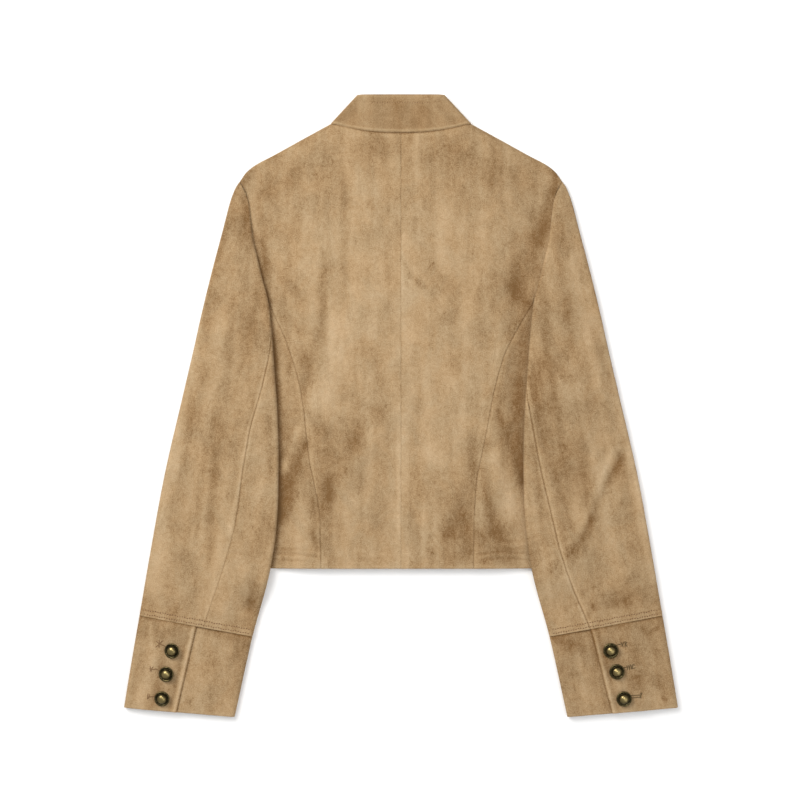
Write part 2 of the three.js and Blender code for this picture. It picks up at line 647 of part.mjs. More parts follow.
// Back neck seam: a shallow arc from the centre back to the collar's corner.
function neckY(x) {
  const rise = NECK.y - NECK.centreY;
  return NECK.centreY + rise * Math.pow(Math.min(1, x / NECK.x), NECK_BEND);
}

// Front neckline, offset outwards: an ellipse about the collar corner's level, by its angle from the centre front.
const frontNeck = (angle, off) => [
  lerp(-LAP, NECK.x - COLLAR_FOLD + off, Math.sin(angle)),
  NECK.y - (FRONT_NECK_DROP + off) * Math.cos(angle),
];

// Front: flat on the table from the centre front to the side, the front armhole, shoulder and neckline.
// The left front climbs onto the right one where they lap.
function front(side) {
  const half = GAP / 2;
  const chest = 0.5; // share of the outer boundary at the underarm
  const sleeve = 0.98; // and at the top of the armhole
  const neck = 0.5; // shares of the top boundary at the neckline's end and at the collar corner
  const corner = 0.53;
  const bevel = 8; // length of the shoulder edge over which the gap under the collar runs out
  const columnOf = (i) => (i / (NECK_ANGLES.length - 1)) * neck;
  const right = (v) => {
    if (v <= chest) {
      const y = lerp(HEM_Y, CHEST.y, v / chest);
      return [sideX(y), y];
    }
    if (v <= sleeve) return frontArmhole(lerp(FOOT_SECTION, 0, (v - chest) / (sleeve - chest)));
    const start = frontArmhole(0);
    const t = (v - sleeve) / (1 - sleeve);
    return [lerp(start[0], SHOULDER_END.x - half, t), lerp(start[1], SHOULDER_END.y, t)];
  };
  const top = (u) => {
    if (u <= neck) {
      const at = (u / neck) * (NECK_ANGLES.length - 1);
      const i = Math.min(NECK_ANGLES.length - 2, Math.floor(at));
      return frontNeck(radians(lerp(NECK_ANGLES[i], NECK_ANGLES[i + 1], at - i)), half);
    }
    if (u <= corner) return [lerp(NECK.x - COLLAR_FOLD + half, NECK.x, (u - neck) / (corner - neck)), NECK.y - half];
    const x = lerp(NECK.x, SHOULDER_END.x - half, (u - corner) / (1 - corner));
    return [x, shoulderY(x) - half * ease((NECK.x + bevel - x) / bevel)];
  };
  const lapped = columnOf(2); // the columns of the lap and of its ramp
  const level = columnOf(3);
  const bottom = (u) => {
    const x = u <= level ? top(u)[0] : lerp(top(level)[0], sideX(HEM_Y), (u - level) / (1 - level));
    return [x, HEM_Y];
  };
  const left = (v) => [-LAP, lerp(HEM_Y, top(0)[1], v)];
  const flat = patch(bottom, top, left, right, (u) => ease((u - neck) / (1 - neck)));
  const lift = side === "left" ? SUEDE + GAP : 0;
  const us = [...NECK_ANGLES.map((_, i) => columnOf(i)), corner, ...onward(corner, 1, 5)];
  const vs = [...steps(7).map((t) => t * chest), ...onward(chest, sleeve, 2 * FOOT_SECTION), 1];
  const grid = (height) =>
    vs.map((v) =>
      us.map((u) => {
        const [x, y] = flat(u, v);
        return new THREE.Vector3(signOf(side) * x, y, height + lift * ease((level - u) / (level - lapped)));
      }),
    );
  return shell(grid(SUEDE), grid(0));
}

// Collar: one band from the centre front round a fold, across the back and round the other fold to the centre
// front. v runs from its sewn edge to its free edge.
function collar() {
  const half = GAP / 2;
  const edgeX = (v) => lerp(NECK.x, COLLAR.topX, v);
  const edgeY = (v) => lerp(NECK.y, COLLAR.topY, v);
  const end = frontNeck(radians(COLLAR.startAngle), -half)[0];
  const frontPart = (degrees, v) => {
    const [x, y] = frontNeck(radians(degrees), -half);
    const share = (x - end) / (NECK.x - COLLAR_FOLD - end);
    const free = edgeY(1) - COLLAR.frontDrop * Math.cos(radians(degrees));
    return [lerp(x, lerp(end, edgeX(1) - COLLAR_FOLD, share), v), lerp(y, free, v), 0];
  };
  const foldPart = (degrees, v) => {
    const angle = radians(degrees);
    const x = edgeX(v) - COLLAR_FOLD * (1 - Math.cos(angle));
    const sewn = degrees > 0 ? neckY(NECK.x - COLLAR_FOLD * (1 - Math.cos(angle))) : NECK.y;
    return [x, lerp(sewn + half, edgeY(1), v), COLLAR_FOLD * (1 + Math.sin(angle))];
  };
  const backPart = (seamX, v) => {
    const share = seamX / (NECK.x - COLLAR_FOLD);
    return [share * (edgeX(v) - COLLAR_FOLD), lerp(neckY(seamX) + half, COLLAR.topY, v), COLLAR.height];
  };
  const stations = [
    ...NECK_ANGLES.filter((a) => a >= COLLAR.startAngle && a < 90).map((a) => [frontPart, a]),
    ...[-90, -54, -18, 18, 54].map((a) => [foldPart, a]),
    ...NECK_COLUMNS.slice().reverse().map((x) => [backPart, x]),
  ];
  const place = (u, v) => {
    const last = stations.length - 1;
    const at = u <= last ? u : 2 * last - u;
    const i = Math.min(last - 1, Math.floor(at));
    const a = stations[i][0](stations[i][1], v);
    const b = stations[i + 1][0](stations[i + 1][1], v);
    const [x, y, z] = a.map((value, j) => lerp(value, b[j], at - i));
    return new THREE.Vector3(u <= last ? x : -x, y, z);
  };
  const spans = 2 * (stations.length - 1);
  const surface = (u, v) => place(u * spans, v);
  return wall(surface, steps(spans), steps(4), COLLAR_WALL, () => new THREE.Vector3(0, -1, 0));
}

// A domed button with a raised rim, on a short shank.
function button() {
  const profile = [
    { radius: 0, z: -BUTTON_SHANK.length },
    { radius: BUTTON_SHANK.radius, z: -BUTTON_SHANK.length },
    { radius: BUTTON_SHANK.radius, z: 0 },
    { radius: 8.2, z: 0.2 },
    { radius: BUTTON_RADIUS, z: 1.2 },
    { radius: 8.2, z: 2.3 },
    { radius: 6.4, z: 1.8 },
    { radius: 5.3, z: 3.4 },
    { radius: 3.2, z: 5.1 },
    { radius: 0, z: 5.8 },
  ];
  return new THREE.LatheGeometry(profile.map((p) => new THREE.Vector2(p.radius, p.z)), 16);
}

// Place of a button: on the cuff's upper end, by its distances along the cuff and from the slit.
function buttonPlace(side, place) {
  const s = place.along / CUFF_LENGTH;
  const slit = lerp(CUFF_SLIT[side].top, CUFF_SLIT[side].end, s);
  return cuffPoint(side, s, slit + place.fromSlit / CUFF_FLAT);
}

const suede = new THREE.MeshStandardMaterial({ color: 0xb4936a, roughness: 0.95, metalness: 0 });
const brass = new THREE.MeshStandardMaterial({ color: 0x6e6240, roughness: 0.35, metalness: 1 });

const jacket = new THREE.Group();

function add(name, geometry, material) {
  const mesh = new THREE.Mesh(geometry, material);
  mesh.name = name;
  jacket.add(mesh);
  return mesh;
}

add("collar", collar(), suede);
for (const side of ["left", "right"]) {
  add(`centre_back_${side}`, centreBack(side), suede);
  add(`side_back_${side}`, sideBack(side), suede);
  add(`front_${side}`, front(side), suede);
  add(`upper_sleeve_${side}`, upperSleeve(side), suede);
  add(`under_sleeve_${side}`, underSleeve(side), suede);
  add(`cuff_${side}`, cuff(side), suede);
  BUTTON_PLACES[side].forEach((place, i) => {
    const piece = add(`button_${side}_${i + 1}`, button(), brass);
    const seat = buttonPlace(side, place);
    const away = radians(place.towards);
    const axis = new THREE.Vector3(-Math.sin(away), Math.cos(away), 0);
    const stand = BUTTON_SHANK.length + GAP + BUTTON_SHANK.radius * Math.sin(radians(place.lean));
    piece.quaternion
      .setFromAxisAngle(axis, radians(place.lean))
      .multiply(new THREE.Quaternion().setFromEuler(new THREE.Euler(Math.PI / 2, 0, 0)));
    piece.position.set(seat.x, seat.y, seat.z + stand);
  });
}

export default jacket;
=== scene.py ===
"""Looks of a cropped suede jacket that lies flat with its back up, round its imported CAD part.

The cut is in millimetres in the row's frame: X across the back, Y from the hem to the collar, Z up from
the table. Meshes are in metres. "Left" and "right" are the wearer's, so the wearer's left is at -X.
"""

import logging
import math
from dataclasses import dataclass, field
from enum import Enum

import bpy
import numpy as np
from mathutils import Matrix, Vector
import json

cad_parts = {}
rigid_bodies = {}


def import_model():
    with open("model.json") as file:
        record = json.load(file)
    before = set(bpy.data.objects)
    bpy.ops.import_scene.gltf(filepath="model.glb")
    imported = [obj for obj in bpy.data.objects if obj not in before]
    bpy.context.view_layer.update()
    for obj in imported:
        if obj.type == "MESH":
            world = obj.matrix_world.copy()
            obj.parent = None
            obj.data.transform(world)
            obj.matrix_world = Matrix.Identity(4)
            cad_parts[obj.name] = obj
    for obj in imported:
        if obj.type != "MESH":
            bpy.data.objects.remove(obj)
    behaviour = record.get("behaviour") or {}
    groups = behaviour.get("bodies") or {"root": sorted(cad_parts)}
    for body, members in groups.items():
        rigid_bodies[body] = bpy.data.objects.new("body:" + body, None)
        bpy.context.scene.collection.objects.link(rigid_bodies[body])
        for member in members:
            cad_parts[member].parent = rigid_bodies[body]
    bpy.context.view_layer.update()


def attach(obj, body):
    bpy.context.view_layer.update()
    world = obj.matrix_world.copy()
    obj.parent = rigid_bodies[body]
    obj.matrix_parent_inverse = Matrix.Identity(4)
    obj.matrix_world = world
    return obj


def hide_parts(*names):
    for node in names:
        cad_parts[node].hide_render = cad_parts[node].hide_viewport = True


log = logging.getLogger("jacket")

MM = 0.001
Array = np.ndarray


class Side(Enum):
    """Which half of the jacket, with the sign of its X."""

    LEFT = -1
    RIGHT = 1

    @property
    def word(self) -> str:
        return self.name.lower()


class Edge(Enum):
    """How one edge of a panel is finished."""

    SEAM = "seam"
    FAINT = "faint seam"
    FREE = "free"
    TUCKED = "tucked"


def mix(a, b, t):
    """Value between a and b at t."""
    return a + (b - a) * t


def ease(t) -> Array:
    """Smooth step from 0 to 1."""
    t = np.clip(t, 0.0, 1.0)
    return t * t * (3.0 - 2.0 * t)


def clustered(count: int, pull: float = 0.8) -> Array:
    """Steps from 0 to 1 that lie closer together at both ends.

    Args:
        count: Number of steps.
        pull: 0 for even steps, towards 1 for ever closer ones at the ends.
    """
    s = np.linspace(0.0, 1.0, count + 1)
    return s - pull * np.sin(2.0 * np.pi * s) / (2.0 * np.pi)


def parts_of(*runs: tuple[float, float, int, float]) -> Array:
    """Joins runs of steps, each (start, end, count, pull), into one list without doubles."""
    pieces = [start + (end - start) * clustered(count, pull) for start, end, count, pull in runs]
    return np.concatenate([pieces[0]] + [p[1:] for p in pieces[1:]])


class Curve:
    """A smooth curve through a table's rows that never overshoots."""

    def __init__(self, at, values) -> None:
        order = np.argsort(np.asarray(at, float))
        self.x = np.asarray(at, float)[order]
        self.y = np.asarray(values, float)[order]
        slope = np.diff(self.y) / np.diff(self.x)
        before = np.concatenate([slope[:1], slope])
        after = np.concatenate([slope, slope[-1:]])
        same = before * after > 0.0
        total = np.where(same, before + after, 1.0)
        self.tangent = np.where(same, 2.0 * before * after / total, 0.0)

    def __call__(self, at) -> Array:
        at = np.asarray(at, float)
        i = np.clip(np.searchsorted(self.x, at, side="left") - 1, 0, len(self.x) - 2)
        h = self.x[i + 1] - self.x[i]
        t = np.clip((at - self.x[i]) / h, 0.0, 1.0)
        t2, t3 = t * t, t * t * t
        return (
            self.y[i] * (2 * t3 - 3 * t2 + 1)
            + self.y[i + 1] * (3 * t2 - 2 * t3)
            + h * (self.tangent[i] * (t3 - 2 * t2 + t) + self.tangent[i + 1] * (t3 - t2))
        )


@dataclass(frozen=True)
class Fold:
    """One crease: a ridge (height over 0) or trough (under 0) along a path of (x, y) points.

    width is its half width, lean makes the left or right flank steeper, and tone is how light (over 0)
    or dark (under 0) it is along it: partly the nap's own colour, partly painted shade in troughs and
    painted highlight on ridges.
    """

    path: tuple[tuple[float, float], ...]
    width: float
    height: float
    lean: float = 0.0
    tone: float = 0.0

    def at(self, x: Array, y: Array) -> Array:
        """Share of the fold at each point, from 0 to 1."""
        best = np.full(np.shape(x), np.inf)
        side = np.zeros(np.shape(x))
        for (ax, ay), (bx, by) in zip(self.path[:-1], self.path[1:]):
            dx, dy = bx - ax, by - ay
            t = np.clip(((x - ax) * dx + (y - ay) * dy) / (dx * dx + dy * dy), 0.0, 1.0)
            ex, ey = x - ax - t * dx, y - ay - t * dy
            d = np.hypot(ex, ey)
            near = d < best
            best = np.where(near, d, best)
            side = np.where(near, np.sign(dx * ey - dy * ex), side)
        away = best / (self.width * (1.0 + self.lean * side))
        return np.exp(-away * away)


@dataclass(frozen=True)
class Relief:
    """A set of folds that raise or sink a piece and lighten or darken it: partly the nap's own colour, partly painted
    shade and painted highlight.
    """

    folds: tuple[Fold, ...]

    def height(self, x: Array, y: Array) -> Array:
        """Height in millimetres at each point."""
        return sum((f.height * f.at(x, y) for f in self.folds), np.zeros(np.shape(x)))

    def tone(self, x: Array, y: Array) -> Array:
        """Lightness at each point, about -1 to 1."""
        return sum((f.tone * f.at(x, y) for f in self.folds if f.tone), np.zeros(np.shape(x)))


def ripple(x: Array, y: Array, length: float, seed: float) -> Array:
    """Soft uneven swelling from -1 to 1, made of a few waves across each other.

    Args:
        x: Points across, in millimetres.
        y: Points along, in millimetres.
        length: Typical wavelength in millimetres.
        seed: Shifts the waves, so that no two pieces are alike.
    """
    total = np.zeros(np.shape(x))
    for i, (turn, scale) in enumerate(((0.3, 1.0), (1.4, 0.8), (2.3, 1.25), (0.9, 0.55), (2.9, 0.62))):
        phase = seed * (i + 1.7) + 2.4 * i
        along = (x * math.cos(turn) + y * math.sin(turn)) / (length * scale)
        across = (x * math.sin(turn) - y * math.cos(turn)) / (length * scale * 1.9)
        total += np.sin(2 * np.pi * along + phase + 1.3 * np.sin(2 * np.pi * across + seed))
    return total / 5.0


@dataclass(frozen=True)
class Wall:
    """Thicknesses and clearances of the cloth."""

    suede: float = 1.6
    collar: float = 2.2
    gap: float = 0.3
    lie: float = 0.5

    @property
    def rim(self) -> float:
        """Height of the back's folded edge over the table."""
        return self.suede + self.gap


WALL = Wall()
CAD_BODY_FOLDS = Relief(
    (
        Fold(((-16, -12), (-74, -88)), 16, 2.2),
        Fold(((-84, -112), (-98, -160)), 11, 2.0),
        Fold(((-116, -30), (-137, -104)), 10, 2.2),
        Fold(((112, -52), (104, -118)), 13, 2.6),
        Fold(((66, -96), (46, -150)), 12, 1.8),
        Fold(((120, 60), (128, -36)), 9, 1.8),
        Fold(((-132, 84), (-122, 20)), 9, 1.6),
    )
)
CAD_SLEEVE_FOLDS = {
    Side.LEFT: Relief(
        (
            Fold(((-226, 60), (-248, -60)), 12, 1.6),
            Fold(((-176, 40), (-196, -70)), 13, 1.5),
            Fold(((-262, -110), (-276, -200)), 13, 1.4),
            Fold(((-176, -196), (-204, -232)), 9, 1.6),
        )
    ),
    Side.RIGHT: Relief(
        (
            Fold(((222, 70), (250, -40)), 12, 1.6),
            Fold(((226, -100), (208, -176)), 10, 1.8),
            Fold(((268, -64), (252, -112)), 10, 1.6),
            Fold(((262, -196), (226, -226)), 9, 1.5),
        )
    ),
}


@dataclass(frozen=True)
class BodyCut:
    """Cut and lie of the body: half widths, and heights over the table."""

    crown: float = 11.2
    side_height: float = 5.0
    crown_to: float = 100.0
    pressed_from: float = 160.0
    fold_clear: tuple[float, float] = (112.0, 136.0)
    lap: float = 12.0
    hem_y: float = -188.5
    neck_x: float = 81.2
    neck_y: float = 328.3
    neck_centre_y: float = 317.5
    neck_bend: float = 2.3
    front_neck_drop: float = 74.0
    chest: tuple[float, float] = (217.5, 84.2)
    armhole_foot: tuple[float, float] = (153.7, 119.5)
    shoulder: tuple[tuple[float, float], ...] = (
        (81.2, 328.3),
        (115.0, 309.8),
        (149.0, 291.0),
        (169.3, 280.2),
        (179.6, 272.0),
        (187.6, 261.0),
    )
    side_edge: tuple[tuple[float, float], ...] = (
        (-188.5, 209.0),
        (-150.0, 206.5),
        (-100.0, 205.0),
        (-50.0, 206.0),
        (0.0, 209.5),
        (40.0, 213.0),
        (84.2, 217.5),
    )
    princess_left: tuple[tuple[float, float], ...] = (
        (-188.5, 92.9),
        (-156.0, 93.4),
        (-126.0, 94.6),
        (-87.0, 101.2),
        (-60.0, 106.8),
        (-21.0, 111.0),
        (23.0, 117.6),
        (67.0, 130.6),
        (119.5, 153.7),
    )
    princess_right: tuple[tuple[float, float], ...] = (
        (-188.5, 84.1),
        (-143.0, 84.5),
        (-88.0, 87.8),
        (-54.0, 94.3),
        (-21.0, 100.9),
        (14.0, 107.5),
        (56.0, 119.0),
        (90.0, 136.0),
        (119.5, 153.7),
    )

    def pressed(self, x: Array) -> Array:
        """Outer height of the back, which the sleeves press down towards the side."""
        share = ease((self.pressed_from - np.asarray(x)) / (self.pressed_from - self.crown_to))
        return mix(self.side_height, self.crown, share)

    def side_x(self, y: Array) -> Array:
        """Half width of the body at its folded side."""
        return Curve(*zip(*self.side_edge))(y)

    def princess_x(self, side: Side, y: Array) -> Array:
        """Distance of the princess seam from the centre back."""
        return Curve(*zip(*(self.princess_left if side is Side.LEFT else self.princess_right)))(y)

    def shoulder_y(self, x: Array) -> Array:
        """Height of the shoulder line at a half width."""
        return Curve(*zip(*self.shoulder))(x)

    def back_neck_y(self, x: Array) -> Array:
        """Back neck seam: a shallow arc from the centre back to the collar's corner."""
        share = np.minimum(1.0, np.abs(x) / self.neck_x) ** self.neck_bend
        return mix(self.neck_centre_y, self.neck_y, share)

    def front_neck(self, angle: Array, off: float, fold: float) -> Array:
        """Front neckline by its angle from the centre front, set off outwards."""
        x = mix(-self.lap, self.neck_x - fold + off, np.sin(angle))
        y = self.neck_y - (self.front_neck_drop + off) * np.cos(angle)
        return np.stack([x, y], axis=-1)

    def from_shoulder(self, x: Array, y: Array) -> Array:
        """Distance from a point to the folded shoulder."""
        least = np.full(np.shape(x), np.inf)
        line_x = np.linspace(self.neck_x, self.shoulder[-1][0], 41)
        line = list(zip(line_x, self.shoulder_y(line_x)))
        for (ax, ay), (bx, by) in zip(line[:-1], line[1:]):
            dx, dy = bx - ax, by - ay
            t = np.clip(((x - ax) * dx + (y - ay) * dy) / (dx * dx + dy * dy), 0.0, 1.0)
            least = np.minimum(least, np.hypot(x - ax - t * dx, y - ay - t * dy))
        return least

    def from_edge(self, x: Array, y: Array) -> Array:
        """Distance from a point to the folded shoulder or side, whichever is nearer."""
        return np.minimum(self.from_shoulder(x, y), self.side_x(np.minimum(y, self.chest[1])) - x)

    def back_height(self, side: Side, x: Array, y: Array) -> Array:
        """Outer height of the back at half width x: the crown, the folds, and the rounded edge."""
        low, high = self.fold_clear
        clear = ease((high - x) / (high - low))
        top = self.pressed(x) + clear * CAD_BODY_FOLDS.height(side.value * x, y)
        radius = top - WALL.rim
        into = radius - np.clip(self.from_edge(x, y), 0.0, radius)
        return WALL.rim + np.sqrt(np.maximum(0.0, radius * radius - into * into))


BODY = BodyCut()


@dataclass(frozen=True)
class SleeveCut:
    """Cut and lie of one sleeve, in sections that fan from the cap to the cuff seam."""

    side: Side
    foot: int = 6
    last: int = 14
    first: float = 0.02
    step_out: float = 22.0
    step_in: float = 5.0
    lift_before_foot: float = 0.6
    drape_out: float = 42.0
    drape_in: float = 24.0
    hem_clear: float = 12.0
    hem_drape: float = 36.0
    puff: float = 1.4
    outer_fold: tuple[tuple[float, float], ...] = (
        (-361.0, 323.5),
        (-350.0, 321.9),
        (-292.0, 312.4),
        (-236.0, 302.7),
        (-176.0, 292.4),
        (-81.0, 275.0),
        (7.5, 254.6),
        (72.0, 239.6),
        (101.0, 233.2),
        (155.5, 220.0),
        (203.0, 207.5),
        (239.0, 198.0),
        (253.0, 192.6),
        (261.0, 187.6),
    )
    inner_fold: tuple[tuple[float, float], ...] = (
        (-361.0, 193.3),
        (-267.5, 172.5),
        (-188.5, 151.4),
        (-139.0, 144.2),
        (-98.5, 142.2),
        (-54.5, 141.9),
        (-10.5, 143.1),
        (35.0, 146.2),
        (79.0, 149.4),
        (119.5, 153.7),
        (149.5, 161.2),
        (171.5, 166.5),
        (195.0, 172.0),
        (213.5, 174.3),
        (235.0, 176.8),
        (247.0, 180.4),
    )
    # k, outer end's y, inner end's y, outer fold's height, inner fold's radius and turn in degrees,
    # share where the lower layer ends at the front armhole, place of the back seam on the left and right
    # sleeve in millimetres from the top of the inner fold, front seam
    sections: tuple[tuple[float, ...], ...] = (
        (0, 261, 247, 6.8, 2.0, 0, 0.9, -14.4, -14.4, 0.9),
        (1, 243, 234, 7.6, 2.4, 10, 0.95, -14.4, -14.4, 0.95),
        (2, 218, 214, 8.2, 2.8, 20, 0.97, -14.4, -14.4, 0.97),
        (3, 185, 194, 8.8, 3.2, 35, 0.97, -14.4, -14.4, 0.97),
        (4, 148, 171, 9.1, 3.6, 50, 0.92, -14.4, -14.4, 0.92),
        (5, 112, 147, 9.2, 4.1, 70, 0.74, -14.4, -14.4, 0.74),
        (6, 72, 119.5, 9.2, 4.6, 90, 0.256, -14.4, -14.4, 0.256),
        (7, 34, 84, 9.2, 4.6, 90, 0.256, -6, -13, 0.21),
        (8, -8, 34, 9.2, 4.6, 90, 0.256, 9.4, -8, 0.2),
        (9, -50, -20, 9.2, 4.6, 90, 0.256, 28.3, 5.3, 0.2),
        (10, -92, -72, 9.2, 4.6, 90, 0.256, 37.3, 15.9, 0.2),
        (11, -134, -124, 9.2, 4.6, 90, 0.256, 42.6, 26.6, 0.2),
        (12, -176, -176, 9.2, 4.6, 90, 0.256, 48.9, 33.2, 0.2),
        (13, -212, -222, 9.0, 4.5, 90, 0.256, 52.2, 38.5, 0.2),
        (14, -243, -267.5, 8.8, 4.4, 90, 0.256, 53, 43.5, 0.2),
    )

    @property
    def lie(self) -> float:
        """Turn of the sleeve's length from the body's, in degrees."""
        return 10.0 * self.side.value

    def column(self, name: str, k: Array) -> Array:
        """One named column of the sections at k."""
        names = ("k", "outer_y", "inner_y", "height", "roll", "turn", "armhole", "left", "right", "front")
        table = np.asarray(self.sections, float)
        return Curve(table[:, 0], table[:, names.index(name)])(k)

    def ends(self, k: Array) -> tuple[Array, Array, Array]:
        """The section's outer and inner end as (..., 2) points, and its width."""
        outer_y, inner_y = self.column("outer_y", k), self.column("inner_y", k)
        outer = np.stack([Curve(*zip(*self.outer_fold))(outer_y), outer_y], axis=-1)
        inner = np.stack([Curve(*zip(*self.inner_fold))(inner_y), inner_y], axis=-1)
        return outer, inner, np.linalg.norm(outer - inner, axis=-1)

    def crossing(self, k: Array) -> Array:
        """Share of the width where the section crosses the front armhole or the body's side."""
        outer, inner, _ = self.ends(k)
        share = np.full(np.shape(k), 0.4)
        for _ in range(4):
            y = np.clip(mix(outer[..., 1], inner[..., 1], share), BODY.hem_y, BODY.chest[1])
            share = (outer[..., 0] - BODY.side_x(y)) / (outer[..., 0] - inner[..., 0])
        return np.where(k <= self.foot, self.column("armhole", k), share)

    def point(self, k: Array, share: Array, z: Array) -> Array:
        """Points of the sections by their share of the width from the outer fold, at heights z."""
        outer, inner, _ = self.ends(k)
        xy = mix(outer, inner, np.asarray(share)[..., None])
        return np.stack([self.side.value * xy[..., 0], xy[..., 1], z + 0.0 * xy[..., 0]], axis=-1)

    def under_height(self, k: Array, share: Array) -> Array:
        """Height of the lower layer: on the table outside the body, and on the body's back inside it."""
        outer, inner, width = self.ends(k)
        xy = mix(outer, inner, np.asarray(share)[..., None])
        inside = (share - self.crossing(k)) * width
        reached = ease((k - self.foot + self.lift_before_foot) / self.lift_before_foot)
        past_hem = ease((xy[..., 1] - BODY.hem_y + self.hem_clear + self.hem_drape) / self.hem_drape)
        up = ease((inside + self.step_out) / (self.step_out + self.step_in))
        return reached * (BODY.pressed(xy[..., 0]) + WALL.lie) * up * past_hem

    def upper_layer(self, k: Array, turn: Array) -> Array:
        """Top of the sleeve: turn is -1 to 0 up the inner roll and 0 to 1 out to the outer fold."""
        _, inner, width = self.ends(k)
        roll, height = self.column("roll", k), self.column("height", k)
        wrap = np.radians(self.column("turn", k))
        low = np.where(
            k < self.foot,
            BODY.pressed(inner[..., 0]) + WALL.lie,
            self.under_height(k, 1.0 - roll / width),
        )
        centre = low + roll * np.sin(wrap)
        angle = mix(-wrap, np.pi / 2, np.clip(turn + 1.0, 0.0, 1.0))
        on_roll = self.point(k, 1.0 - roll * (1.0 - np.cos(angle)) / width, centre + roll * np.sin(angle))
        out = np.clip(turn, 0.0, 1.0)
        share = mix(1.0 - roll / width, height / 2.0 / width, out)
        crossing = self.crossing(k)
        start = np.maximum(0.0, crossing - self.drape_out / width)
        end = np.minimum(1.0, crossing + self.drape_in / width)
        on_top = self.point(k, share, mix(height, centre + roll, ease((share - start) / (end - start))))
        middle = np.sin(np.pi * out)
        folds = CAD_SLEEVE_FOLDS[self.side].height(on_top[..., 0], on_top[..., 1])
        on_top[..., 2] += middle * self.puff + np.minimum(1.0, 2.2 * middle) * folds
        return np.where((turn < 0.0)[..., None], on_roll, on_top)

    def outer_round(self, k: Array, t: Array) -> Array:
        """Outer fold of the sleeve, from its top at 0 to the table at 1."""
        radius = self.column("height", k) / 2.0
        angle = mix(np.pi / 2, -np.pi / 2, t)
        _, _, width = self.ends(k)
        return self.point(k, radius * (1.0 - np.cos(angle)) / width, radius + radius * np.sin(angle))

    def back_seam(self, k: Array, off: float) -> Array:
        """Place of the back seam as a turn, set off by a distance."""
        _, _, width = self.ends(k)
        roll, away = self.column("roll", k), self.column(self.side.word, k)
        unit = np.where(away < 0.0, np.pi * roll, width - roll - self.column("height", k) / 2.0)
        return np.where(k < self.foot, -1.0, np.maximum(-0.96, away / unit) + off / unit)


@dataclass(frozen=True)
class CuffCut:
    """Cut and lie of one cuff: a band whose ends lap at a slit."""

    side: Side
    sleeve: SleeveCut
    height: float = 8.8
    lift: float = 1.9
    underlap: float = 30.0
    flat_width: float = 122.0
    length: float = 101.0
    top_y: tuple[float, float] = (-243.4, -267.9)
    end_y: tuple[float, float] = (-350.0, -361.0)

    @property
    def slit(self) -> tuple[float, float]:
        """Place of the slit on the top layer, at the seam and at the edge."""
        return (0.49, 0.522) if self.side is Side.LEFT else (0.348, 0.392)

    def slit_at(self, s: Array) -> Array:
        """Place of the slit at row s."""
        return mix(self.slit[0], self.slit[1], s)

    def ends(self, s: Array) -> tuple[Array, Array, Array]:
        """Outer and inner end of row s, and its width."""
        outer_y = mix(self.top_y[0], self.end_y[0], s)
        inner_y = mix(self.top_y[1], self.end_y[1], s)
        outer = np.stack([Curve(*zip(*self.sleeve.outer_fold))(outer_y), outer_y], axis=-1)
        inner = np.stack([Curve(*zip(*self.sleeve.inner_fold))(inner_y), inner_y], axis=-1)
        return outer, inner, np.linalg.norm(outer - inner, axis=-1)

    def point(self, s: Array, turn: Array) -> Array:
        """Points of the band: 0 to 1 out on top, then round the outer fold, back under and up again to 4."""
        outer, inner, width = self.ends(s)
        fold = self.height / 2.0
        on_top = np.where(turn >= 4.0, turn - 4.0, turn)
        lifted = np.where(turn >= 4.0, 0.0, 1.0 - ease((on_top - self.slit_at(s) - 0.28) / 0.2))
        outer_angle = mix(np.pi / 2, -np.pi / 2, turn - 1.0)
        inner_angle = mix(-np.pi / 2, np.pi / 2, turn - 3.0)
        cases = [(turn <= 1.0) | (turn >= 4.0), turn <= 2.0, turn <= 3.0]
        share = np.select(
            cases,
            [
                mix(1.0 - fold / width, fold / width, on_top),
                fold * (1.0 - np.cos(outer_angle)) / width,
                mix(fold / width, 1.0 - fold / width, turn - 2.0),
            ],
            1.0 - fold * (1.0 - np.cos(inner_angle)) / width,
        )
        z = np.select(
            cases,
            [self.height + self.lift * lifted, fold + fold * np.sin(outer_angle), 0.0 * turn],
            fold + fold * np.sin(inner_angle),
        )
        xy = mix(outer, inner, share[..., None])
        return np.stack([self.side.value * xy[..., 0], xy[..., 1], z], axis=-1)


